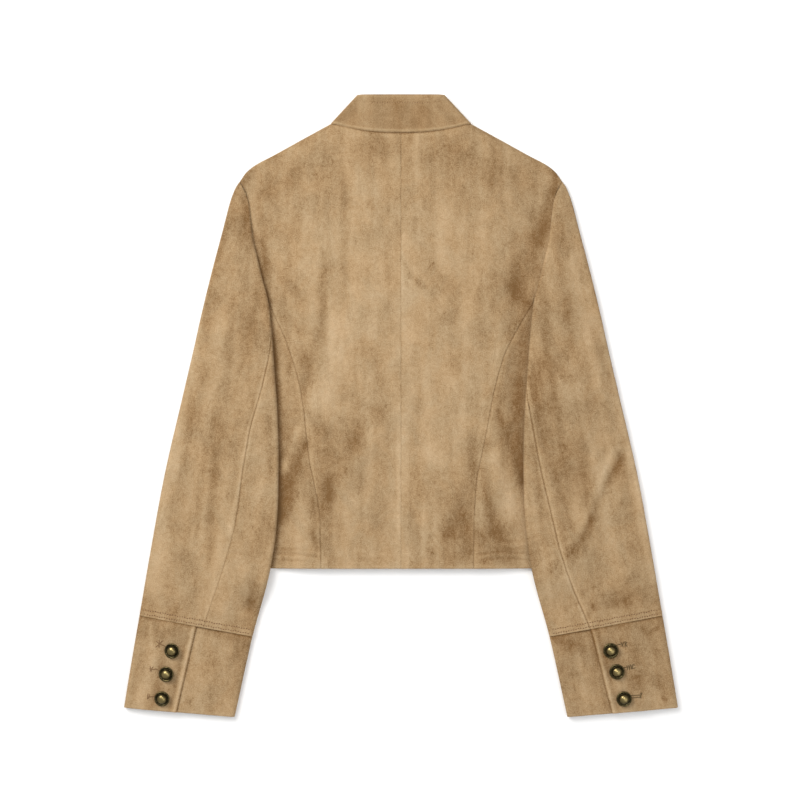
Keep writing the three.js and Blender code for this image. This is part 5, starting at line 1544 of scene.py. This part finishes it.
@dataclass(frozen=True)
class StitchRow:
    """A row of topstitching from one point to another, in millimetres, with its needle holes as dark discs of painted
    shade.
    """

    start: tuple[float, float]
    end: tuple[float, float]
    pitch: float = 2.9
    length: float = 1.6
    radius: float = 0.34
    hole: float = 0.72
    wander: float = 0.42
    sink: float = 0.22

    def build(self, ground: Ground, thread: list, holes: list) -> None:
        """Adds this row's beads to the lists of (vertices, faces)."""
        a, b = np.array(self.start), np.array(self.end)
        span = np.linalg.norm(b - a)
        count = int(span / self.pitch)
        way = (b - a) / span
        across = np.array([-way[1], way[0]])
        centres, ups, shade_spots = [], [], []
        for i in range(count):
            drift = self.wander * (math.sin(1.7 * i + span) + 0.6 * math.sin(0.41 * i - span))
            low = self.sink * (0.5 + 0.5 * math.sin(0.63 * i + 2.0 * span) * math.sin(0.29 * i + span))
            p = a + way * (i + 0.5) * self.pitch + across * drift
            q = p + way * self.pitch / 2
            place, normal = ground.under(*p)
            centres.append(np.array(place) + np.array(normal) * (0.08 - low) * MM)
            ups.append(np.array(normal))
            spot, _ = ground.under(*q)
            shade_spots.append(np.array(spot) + np.array([0, 0, (0.05 - 0.5 * low) * MM]))
        forward = np.tile(np.array([way[0], way[1], 0.0]), (count, 1))
        up = np.array(ups)
        stitch = np.tile(np.array([self.length / 2, self.radius, self.radius * 0.8]) * MM, (count, 1))
        # A flat dark disc between stitches: painted shade of the needle hole.
        shade_dot = np.tile(np.array([self.hole, self.hole, 0.12]) * MM, (count, 1))
        thread.append(Bead().many(np.array(centres), forward, up, stitch))
        holes.append(Bead().many(np.array(shade_spots), forward, up, shade_dot))


@dataclass(frozen=True)
class Buttonhole:
    """What shows of a worked buttonhole beside its button: uneven stitches, each (x, y, x, y)."""

    stitches: tuple[tuple[float, float, float, float], ...]
    pitch: float = 0.8
    radius: float = 0.5

    def build(self, ground: Ground, thread: list) -> None:
        """Adds the buttonhole's beads to a list of (vertices, faces)."""
        centres, forward, ups = [], [], []
        for ax, ay, bx, by in self.stitches:
            a, b = np.array([ax, ay]), np.array([bx, by])
            span = float(np.linalg.norm(b - a))
            way = (b - a) / span
            for t in np.linspace(0.0, 1.0, max(2, round(span / self.pitch) + 1)):
                place, normal = ground.under(*(a + (b - a) * t))
                centres.append(np.array(place) + np.array(normal) * 0.08 * MM)
                forward.append(np.array([way[0], way[1], 0.0]))
                ups.append(np.array(normal))
        sizes = np.tile(np.array([0.7 * self.pitch, self.radius, self.radius]) * MM, (len(centres), 1))
        thread.append(Bead().many(np.array(centres), np.array(forward), np.array(ups), sizes))


@dataclass(frozen=True)
class ButtonShape:
    """Domed shank button, as a profile of (radius, height, patina)."""

    profile: tuple[tuple[float, float, float], ...] = (
        (0.0, -2.0, 0.9),
        (2.3, -2.0, 0.9),
        (2.4, -1.9, 0.9),
        (2.4, 0.0, 0.9),
        (3.4, 0.1, 0.9),
        (8.1, 0.25, 1.0),
        (8.6, 0.5, 0.95),
        (8.92, 0.9, 0.85),
        (9.0, 1.25, 0.8),
        (8.9, 1.65, 0.75),
        (8.6, 2.05, 0.7),
        (8.2, 2.28, 0.8),
        (7.8, 2.3, 0.9),
        (7.4, 2.1, 1.0),
        (7.0, 1.85, 1.0),
        (6.6, 1.72, 1.0),
        (6.25, 1.72, 1.0),
        (6.0, 1.85, 1.0),
        (5.85, 2.2, 1.0),
        (5.7, 2.7, 0.95),
        (5.35, 3.45, 0.85),
        (4.8, 4.15, 0.68),
        (4.0, 4.8, 0.45),
        (3.0, 5.3, 0.2),
        (1.8, 5.65, 0.05),
        (0.8, 5.78, 0.0),
        (0.0, 5.8, 0.0),
    )
    segments: int = 64

    def build(self, name: str, place: Matrix, material: bpy.types.Material) -> bpy.types.Object:
        """The button at a placement in metres."""
        rows = np.array(self.profile)
        turn = np.linspace(0, 2 * np.pi, self.segments, endpoint=False)
        ring = rows[1:-1]
        x = ring[:, 0:1] * np.cos(turn)
        y = ring[:, 0:1] * np.sin(turn)
        z = ring[:, 1:2] + 0 * x
        body = np.stack([x, y, z], -1).reshape(-1, 3)
        vertices = np.concatenate([[[0, 0, rows[0, 1]]], body, [[0, 0, rows[-1, 1]]]]) * MM
        n = self.segments
        faces = []
        for i in range(n):
            j = (i + 1) % n
            faces.append((0, 1 + j, 1 + i, 1 + i))
            for r in range(len(ring) - 1):
                a = 1 + r * n
                faces.append((a + i, a + j, a + n + j, a + n + i))
            last = 1 + (len(ring) - 1) * n
            faces.append((last + i, last + j, len(vertices) - 1, len(vertices) - 1))
        mesh = bpy.data.meshes.new(name)
        clean = [tuple(dict.fromkeys(face)) for face in faces]
        mesh.from_pydata(vertices.tolist(), [], clean)
        mesh.transform(place)
        mesh.update()
        mesh.shade_smooth()
        patina = np.concatenate([[rows[0, 2]], np.repeat(ring[:, 2], n), [rows[-1, 2]]])
        mesh.attributes.new("patina", "FLOAT", "POINT").data.foreach_set("value", patina.astype(np.float32))
        mesh.materials.append(material)
        made = bpy.data.objects.new(name, mesh)
        bpy.context.scene.collection.objects.link(made)
        return made


@dataclass(frozen=True)
class ButtonPlace:
    """Where a button sits: along the cuff and from its slit in millimetres, its lean and the way it leans."""

    along: float
    from_slit: float
    lean: float
    towards: float

    def matrix(self, cuff: CuffCut) -> Matrix:
        """Placement of the button on its cuff, in metres."""
        s = np.array([self.along / cuff.length])
        turn = cuff.slit_at(s) + self.from_slit / cuff.flat_width
        x, y, z = cuff.point(s, turn)[0]
        away, lean = math.radians(self.towards), math.radians(self.lean)
        stand = 2.0 + WALL.gap + 2.4 * math.sin(lean)
        axis = Vector((-math.sin(away), math.cos(away), 0.0))
        return Matrix.Translation(Vector((x, y, z + stand)) * MM) @ Matrix.Rotation(lean, 4, axis)


BUTTONS = {
    Side.LEFT: (ButtonPlace(31.5, 20.6, 12, 200), ButtonPlace(58.5, 21.2, 10, 190), ButtonPlace(86.5, 20.0, 8, 250)),
    Side.RIGHT: (ButtonPlace(28, 16.4, 4, 200), ButtonPlace(53, 17.4, 4, 230), ButtonPlace(85, 17.9, 5, 210)),
}
BUTTONHOLES = {
    Side.LEFT: (
        Buttonhole(
            (
                (-273.9, -278.5, -280.3, -275.8),
                (-280.3, -271.8, -280.8, -279.7),
                (-280.8, -275.4, -283.9, -273.0),
                (-280.8, -276.7, -284.3, -279.4),
                (-276.6, -272.5, -280.4, -275.6),
            )
        ),
        Buttonhole(
            (
                (-280.2, -307.1, -284.8, -304.8),
                (-284.8, -304.8, -287.0, -305.7),
                (-291.1, -302.0, -289.3, -307.5),
                (-287.5, -302.6, -291.1, -307.5),
                (-292.1, -304.8, -287.0, -305.7),
            )
        ),
        Buttonhole(((-285.6, -336.8, -292.8, -337.4), (-293.5, -334.2, -294.2, -339.6), (-291.4, -335.0, -293.0, -339.0))),
    ),
    Side.RIGHT: (
        Buttonhole(
            (
                (249.5, -277.4, 255.5, -275.9),
                (255.1, -274.1, 257.6, -278.7),
                (258.5, -273.6, 256.2, -278.3),
                (260.0, -273.2, 259.8, -279.0),
                (262.0, -273.9, 260.2, -276.3),
                (260.2, -276.3, 262.2, -278.7),
            )
        ),
        Buttonhole(
            (
                (257.5, -303.8, 262.7, -302.6),
                (262.0, -301.1, 262.7, -305.5),
                (263.8, -301.1, 264.9, -305.5),
                (264.9, -305.5, 265.6, -300.4),
                (266.7, -300.4, 267.4, -304.9),
                (268.5, -300.0, 268.1, -304.4),
                (268.5, -300.0, 271.0, -300.4),
                (268.1, -304.4, 271.4, -303.7),
            )
        ),
        Buttonhole(
            (
                (265.9, -335.8, 277.2, -335.2),
                (265.9, -338.6, 277.2, -337.6),
                (278.1, -332.7, 278.1, -338.5),
                (279.4, -333.2, 277.2, -337.6),
            )
        ),
    ),
}


@dataclass
class Jacket:
    """The whole jacket: its cuts, its looks and the objects made from them."""

    suede: Suede = field(default_factory=Suede)
    thread: Thread = field(default_factory=Thread)
    brass: Brass = field(default_factory=Brass)
    collar_suede: Suede = field(default_factory=lambda: Suede(contrast=0.7))
    tone_limit: float = 1.15
    objects: dict[str, bpy.types.Object] = field(default_factory=dict)
    panels: dict[str, Panel] = field(default_factory=dict)
    materials: dict[str, bpy.types.Material] = field(default_factory=dict)

    def cloth(self, panel: Panel, node: str, look: ClothLook, seed: float, band: tuple[Array, Array] | None = None) -> None:
        """Makes one piece of cloth and hands it to the frame.

        Args:
            panel: Its form.
            node: The CAD node it stands for.
            look: Its relief and seams.
            seed: Makes its swelling and pattern its own.
            band: Extra height and tone of its own.
        """
        x, y = panel.points[..., 0], panel.points[..., 1]
        facing = ease((panel.normals[..., 2] - 0.15) / 0.5)
        inside = 1.0
        if "back" in node:
            inside = ease(BODY.from_edge(np.abs(x), y) / 9.0)
        seam_height, seam_tone = seam_fields(panel, look, seed)
        swell = look.swell * ripple(x, y, look.swell_length, seed) + 0.35 * look.swell * ripple(x, y, 19.0, seed + 4)
        height = facing * inside * (seam_height + look.relief.height(x, y) + swell)
        tone = facing * (seam_tone + look.relief.tone(x, y))
        if band is not None:
            height = height + facing * band[0]
            tone = tone + facing * band[1]
        made = shell_object(panel, height, self.tone_limit * np.tanh(tone / self.tone_limit), seed)
        made.data.materials.append(self.materials["collar" if node == "collar" else "body"])
        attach(made, "root")
        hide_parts(node)
        self.objects[node] = made
        self.panels[node] = panel
        log.info("%s: %d faces, %.4f m2", made.name, len(made.data.polygons), panel.area)

    def build(self) -> None:
        """Makes every piece."""
        self.materials["body"] = suede_material(self.suede, "suede")
        self.materials["collar"] = suede_material(self.collar_suede, "suede_collar")
        for seed, side in ((1.0, Side.LEFT), (2.0, Side.RIGHT)):
            self.half(side, seed)
        self.collar()
        self.sewing()
        self.buttons()
        self.declare()

    def half(self, side: Side, seed: float) -> None:
        """Body panels, sleeve and cuff of one side."""
        word = side.word
        sleeve = SleeveCut(side)
        body = BodyBuilder(side, sleeve)
        arm = SleeveBuilder(sleeve, CuffCut(side, sleeve))
        plain = ClothLook(Relief(()), swell=0.0)
        back = ClothLook(BODY_RELIEF)
        centre = body.centre_back()
        height, tone = self.centre_band(centre, side)
        self.cloth(centre, f"centre_back_{word}", back, seed, (height, tone + self.sleeve_shadow(centre, side)))
        beside = body.side_back()
        shadow = self.sleeve_shadow(beside, side)
        self.cloth(beside, f"side_back_{word}", back, seed + 0.31, (0.0 * shadow, shadow))
        self.cloth(body.front(), f"front_{word}", plain, seed + 0.52)
        sleeve_look = ClothLook(
            SLEEVE_RELIEF[side],
            swell=0.5,
            swell_length=54.0,
            seam=SLEEVE_SEAM,
            faint_below=SLEEVE_FAINT_BELOW[side],
        )
        upper, under = arm.upper(), arm.under()
        self.cloth(upper, f"upper_sleeve_{word}", sleeve_look, seed + 0.67, self.lapped_end(upper))
        self.cloth(under, f"under_sleeve_{word}", sleeve_look, seed + 0.83, self.lapped_end(under))
        cuff = arm.band()
        cuff_look = ClothLook(CUFF_RELIEF[side], swell=0.3, swell_length=38.0)
        self.cloth(cuff, f"cuff_{word}", cuff_look, seed + 0.91, self.cuff_edges(cuff))

    def centre_band(self, panel: Panel, side: Side) -> tuple[Array, Array]:
        """The pressed-open allowance of the centre back, with a painted highlight on its ridge that grows towards the
        hem, and the dip under the collar with the collar's painted shadow.
        """
        x, y = np.abs(panel.points[..., 0]), panel.points[..., 1]
        low = ease((24.0 - y) / 60.0)
        width = 5.0 if side is Side.LEFT else 9.5
        band = 1.0 - ease((x - width) / 2.4 + 0.5)
        neck = panel.distances()[1]
        under = np.where(x < BODY.neck_x, 0.35 + 0.65 * np.exp(-((x / 48.0) ** 2)), 0.0)
        height = 0.28 * low * band - 1.3 * under * np.exp(-((neck / 2.0) ** 2))
        # Painted highlight along the allowance's ridge and painted shadow of the collar's edge along the neck seam.
        return height, 0.30 * low * band - 0.95 * under * np.exp(-((neck / 1.7) ** 2))

    def sleeve_shadow(self, panel: Panel, side: Side) -> Array:
        """Painted shadow of the sleeve's inner fold on the body beside it."""
        x, y = np.abs(panel.points[..., 0]), panel.points[..., 1]
        away = Curve(*zip(*SleeveCut(side).inner_fold))(y) - x
        start, strength = (238.0, 0.95) if side is Side.LEFT else (130.0, 0.3)
        along = ease((start - y) / 80.0) * (1.0 if side is Side.LEFT else ease((y + 150.0) / 60.0))
        return -strength * along * np.exp(-(np.maximum(0.0, away) / 2.7) ** 2)

    def lapped_end(self, panel: Panel) -> tuple[Array, Array]:
        """The sleeve's end lies over the cuff's seam, with two sunk rows of stitching darkened by painted shade; its
        cap drops to the back.
        """
        cap, away = panel.distances()[:2]
        near_tip = ease((panel.points[..., 1] - 230.0) / 14.0)
        drop = -2.1 * np.exp(-((cap / 7.0) ** 2)) * (1.0 - near_tip)
        band = 1.0 - ease((away - 8.2) / 4.0 + 0.5)
        rows = np.exp(-(((away - 2.5) / 0.9) ** 2)) + np.exp(-(((away - 7.5) / 0.9) ** 2))
        # The stitching rows get painted shade.
        return 0.55 * band - 0.26 * rows + drop, 0.02 * band - 0.26 * rows

    def cuff_edges(self, panel: Panel) -> tuple[Array, Array]:
        """The cuff sinks under the sleeve's band, which paints its shadow on it, and its upper end has a plump faced
        edge: a painted highlight on the ridge, painted shade at the very edge and in the stitching line.
        """
        seam, _, first, last = panel.distances()
        slit = first if panel.edges[2] is Edge.FREE else last
        sink = -1.0 * np.exp(-((seam / 2.6) ** 2))
        ridge = np.exp(-(((slit - 3.0) / 2.2) ** 2))
        edge = np.exp(-((slit / 1.2) ** 2))
        line = np.exp(-(((slit - 8.5) / 1.8) ** 2))
        height = sink + 0.8 * ridge - 0.3 * edge - 0.25 * line
        # Painted shadow of the sleeve's band, then painted highlight on the ridge and painted shade at the edge and
        # in the stitching line.
        tone = -0.55 * np.exp(-((seam / 2.0) ** 2)) - 0.30 * np.exp(-((seam / 9.0) ** 2))
        tone += 0.60 * ridge - 1.0 * edge - 0.22 * line
        return height, tone

    def collar(self) -> None:
        """The stand collar, its sewn edge rolled over the neck seam with a painted highlight along the roll."""
        panel = CollarCut().panel()
        sewn, free, _, _ = panel.distances()
        roll = 0.35 * np.exp(-(((sewn - 3.0) / 2.6) ** 2)) - 0.5 * np.exp(-((sewn / 0.9) ** 2))
        line = np.exp(-(((free - 9.4) / 0.8) ** 2))
        # Painted highlight along the rolled sewn edge and painted shade in the topstitching's groove; the collar as a
        # whole darker, and darker still towards its sides.
        tone = 0.38 * np.exp(-(((sewn - 1.6) / 1.5) ** 2)) - 0.16 * line - 0.32
        tone -= 0.10 * ease((np.abs(panel.points[..., 0]) - 40.0) / 20.0)
        look = ClothLook(
            Relief(
                (
                    Fold(((-66, 334), (-52, 342)), 4, -0.3, 0.0, -0.1),
                    Fold(((62, 330), (50, 342), (44, 352)), 4, -0.5, 0.0, -0.24),
                    Fold(((72, 332), (60, 346)), 3.5, 0.4, 0.0, 0.12),
                    Fold(((18, 330), (26, 344)), 6, -0.2, 0.0, -0.12),
                )
            ),
            swell=0.25,
            swell_length=30.0,
        )
        self.cloth(panel, "collar", look, 3.4, (roll - 0.3 * line, tone))

    def sewing(self) -> None:
        """Topstitching and worked buttonholes, each side's as one piece of thread and one of dark discs that paint
        the needle holes' shade.
        """
        thread = thread_material(self.thread, self.thread.colour, "thread")
        worked = {
            Side.LEFT: thread_material(self.thread, self.thread.buttonhole_left, "buttonhole_left"),
            Side.RIGHT: thread_material(self.thread, self.thread.buttonhole_right, "buttonhole_right"),
        }
        # Dark discs at the needle holes: painted shade of the holes and the thread.
        holes = thread_material(self.thread, self.thread.hole, "needle_hole")
        for side in Side:
            word = side.word
            sleeve = SleeveCut(side)
            names = [f"upper_sleeve_{word}", f"under_sleeve_{word}", f"cuff_{word}"]
            ground = Ground([self.objects[n] for n in names])
            thread_beads, hole_shade_beads = [], []
            outer, inner, _ = sleeve.ends(np.array([float(sleeve.last)]))
            a, b = outer[0], inner[0]
            way = (b - a) / np.linalg.norm(b - a)
            up = np.array([way[1], -way[0]])
            up = up if up[1] > 0 else -up
            for off in (2.5, 7.5):
                start, end = a + way * 3.5 + up * off, b - way * 3.5 + up * off
                row = StitchRow((side.value * start[0], start[1]), (side.value * end[0], end[1]))
                row.build(ground, thread_beads, hole_shade_beads)
            worked_beads: list = []
            for hole in BUTTONHOLES[side]:
                hole.build(ground, worked_beads)
            self.sewn(f"buttonholes_{word}", worked_beads, worked[side])
            self.sewn(f"sewing_{word}", thread_beads, thread)
            self.sewn(f"needle_holes_{word}", hole_shade_beads, holes)
        ground = Ground([self.objects["collar"]])
        thread_beads, hole_shade_beads = [], []
        StitchRow((-36.0, 351.6), (36.0, 351.6), hole=0.42).build(ground, thread_beads, hole_shade_beads)
        self.sewn("sewing_collar", thread_beads, thread)
        self.sewn("needle_holes_collar", hole_shade_beads, holes)

    def sewn(self, name: str, beads: list, material: bpy.types.Material) -> None:
        """Joins beads into one piece."""
        offset, vertices, faces = 0, [], []
        for v, f in beads:
            vertices.append(v)
            faces.append(f + offset)
            offset += len(v)
        made = mesh_object(name, np.concatenate(vertices), np.concatenate(faces), material)
        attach(made, "root")
        self.objects[name] = made
        log.info("%s: %d faces", name, len(made.data.polygons))

    def buttons(self) -> None:
        """The cuffs' buttons."""
        material = brass_material(self.brass)
        for side, places in BUTTONS.items():
            cuff = CuffCut(side, SleeveCut(side))
            for i, place in enumerate(places):
                node = f"button_{side.word}_{i + 1}"
                made = ButtonShape().build(f"{node}_brass", place.matrix(cuff), material)
                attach(made, "root")
                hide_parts(node)
                log.info("%s: %d faces", made.name, len(made.data.polygons))

    def declare(self) -> None:
        """Goes through the pieces of cloth and does nothing with them."""
        for node, made in self.objects.items():
            if node not in self.panels:
                continue


@dataclass(frozen=True)
class Studio:
    """Table, light and camera."""

    view_width: float = 0.928
    lens: float = 100.0
    sensor: float = 36.0
    aim: tuple[float, float] = (-0.00116, 0.00696)

    def build(self) -> None:
        """Makes the whole set."""
        self.table()
        self.light("key", (-1.3, 1.2, 1.9), 1.5, 54.0, (1.0, 0.985, 0.965))
        self.light("fill", (1.5, -1.0, 2.4), 2.2, 18.0, (0.97, 0.985, 1.0))
        self.light("top", (0.05, 0.2, 2.9), 0.6, 14.0, (1.0, 1.0, 1.0))
        world = bpy.data.worlds.new("studio")
        world.use_nodes = True
        world.node_tree.nodes["Background"].inputs["Color"].default_value = (1.0, 1.0, 1.0, 1.0)
        world.node_tree.nodes["Background"].inputs["Strength"].default_value = 0.50
        scene = bpy.context.scene
        scene.world = world
        scene.view_settings.view_transform = "Standard"
        self.camera()

    def table(self) -> None:
        """A pale plain table top."""
        mesh = bpy.data.meshes.new("table")
        s = 4.0
        z = -0.0002
        mesh.from_pydata([(-s, -s, z), (s, -s, z), (s, s, z), (-s, s, z)], [], [(0, 1, 2, 3)])
        material, _, shader = new_material("table")
        shader.inputs["Base Color"].default_value = (0.93, 0.93, 0.93, 1.0)
        shader.inputs["Roughness"].default_value = 0.9
        mesh.materials.append(material)
        table = bpy.data.objects.new("table", mesh)
        bpy.context.scene.collection.objects.link(table)

    def light(self, name: str, place: tuple, size: float, power: float, colour: tuple) -> None:
        """An area light that faces the middle of the jacket."""
        data = bpy.data.lights.new(name, "AREA")
        data.size, data.energy, data.color = size, power, colour
        lamp = bpy.data.objects.new(name, data)
        lamp.location = place
        lamp.rotation_euler = (-Vector(place)).to_track_quat("-Z", "Y").to_euler()
        bpy.context.scene.collection.objects.link(lamp)

    def camera(self) -> None:
        """Straight above the table, as the photo was taken."""
        data = bpy.data.cameras.new("camera")
        data.lens, data.sensor_width = self.lens, self.sensor
        camera = bpy.data.objects.new("camera", data)
        camera.location = (*self.aim, 0.010 + self.view_width * self.lens / self.sensor)
        bpy.context.scene.collection.objects.link(camera)
        bpy.context.scene.camera = camera


def main() -> None:
    """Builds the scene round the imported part."""
    logging.basicConfig(level=logging.INFO, format="%(message)s")
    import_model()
    Jacket().build()
    Studio().build()


if __name__ == "__main__":
    main()
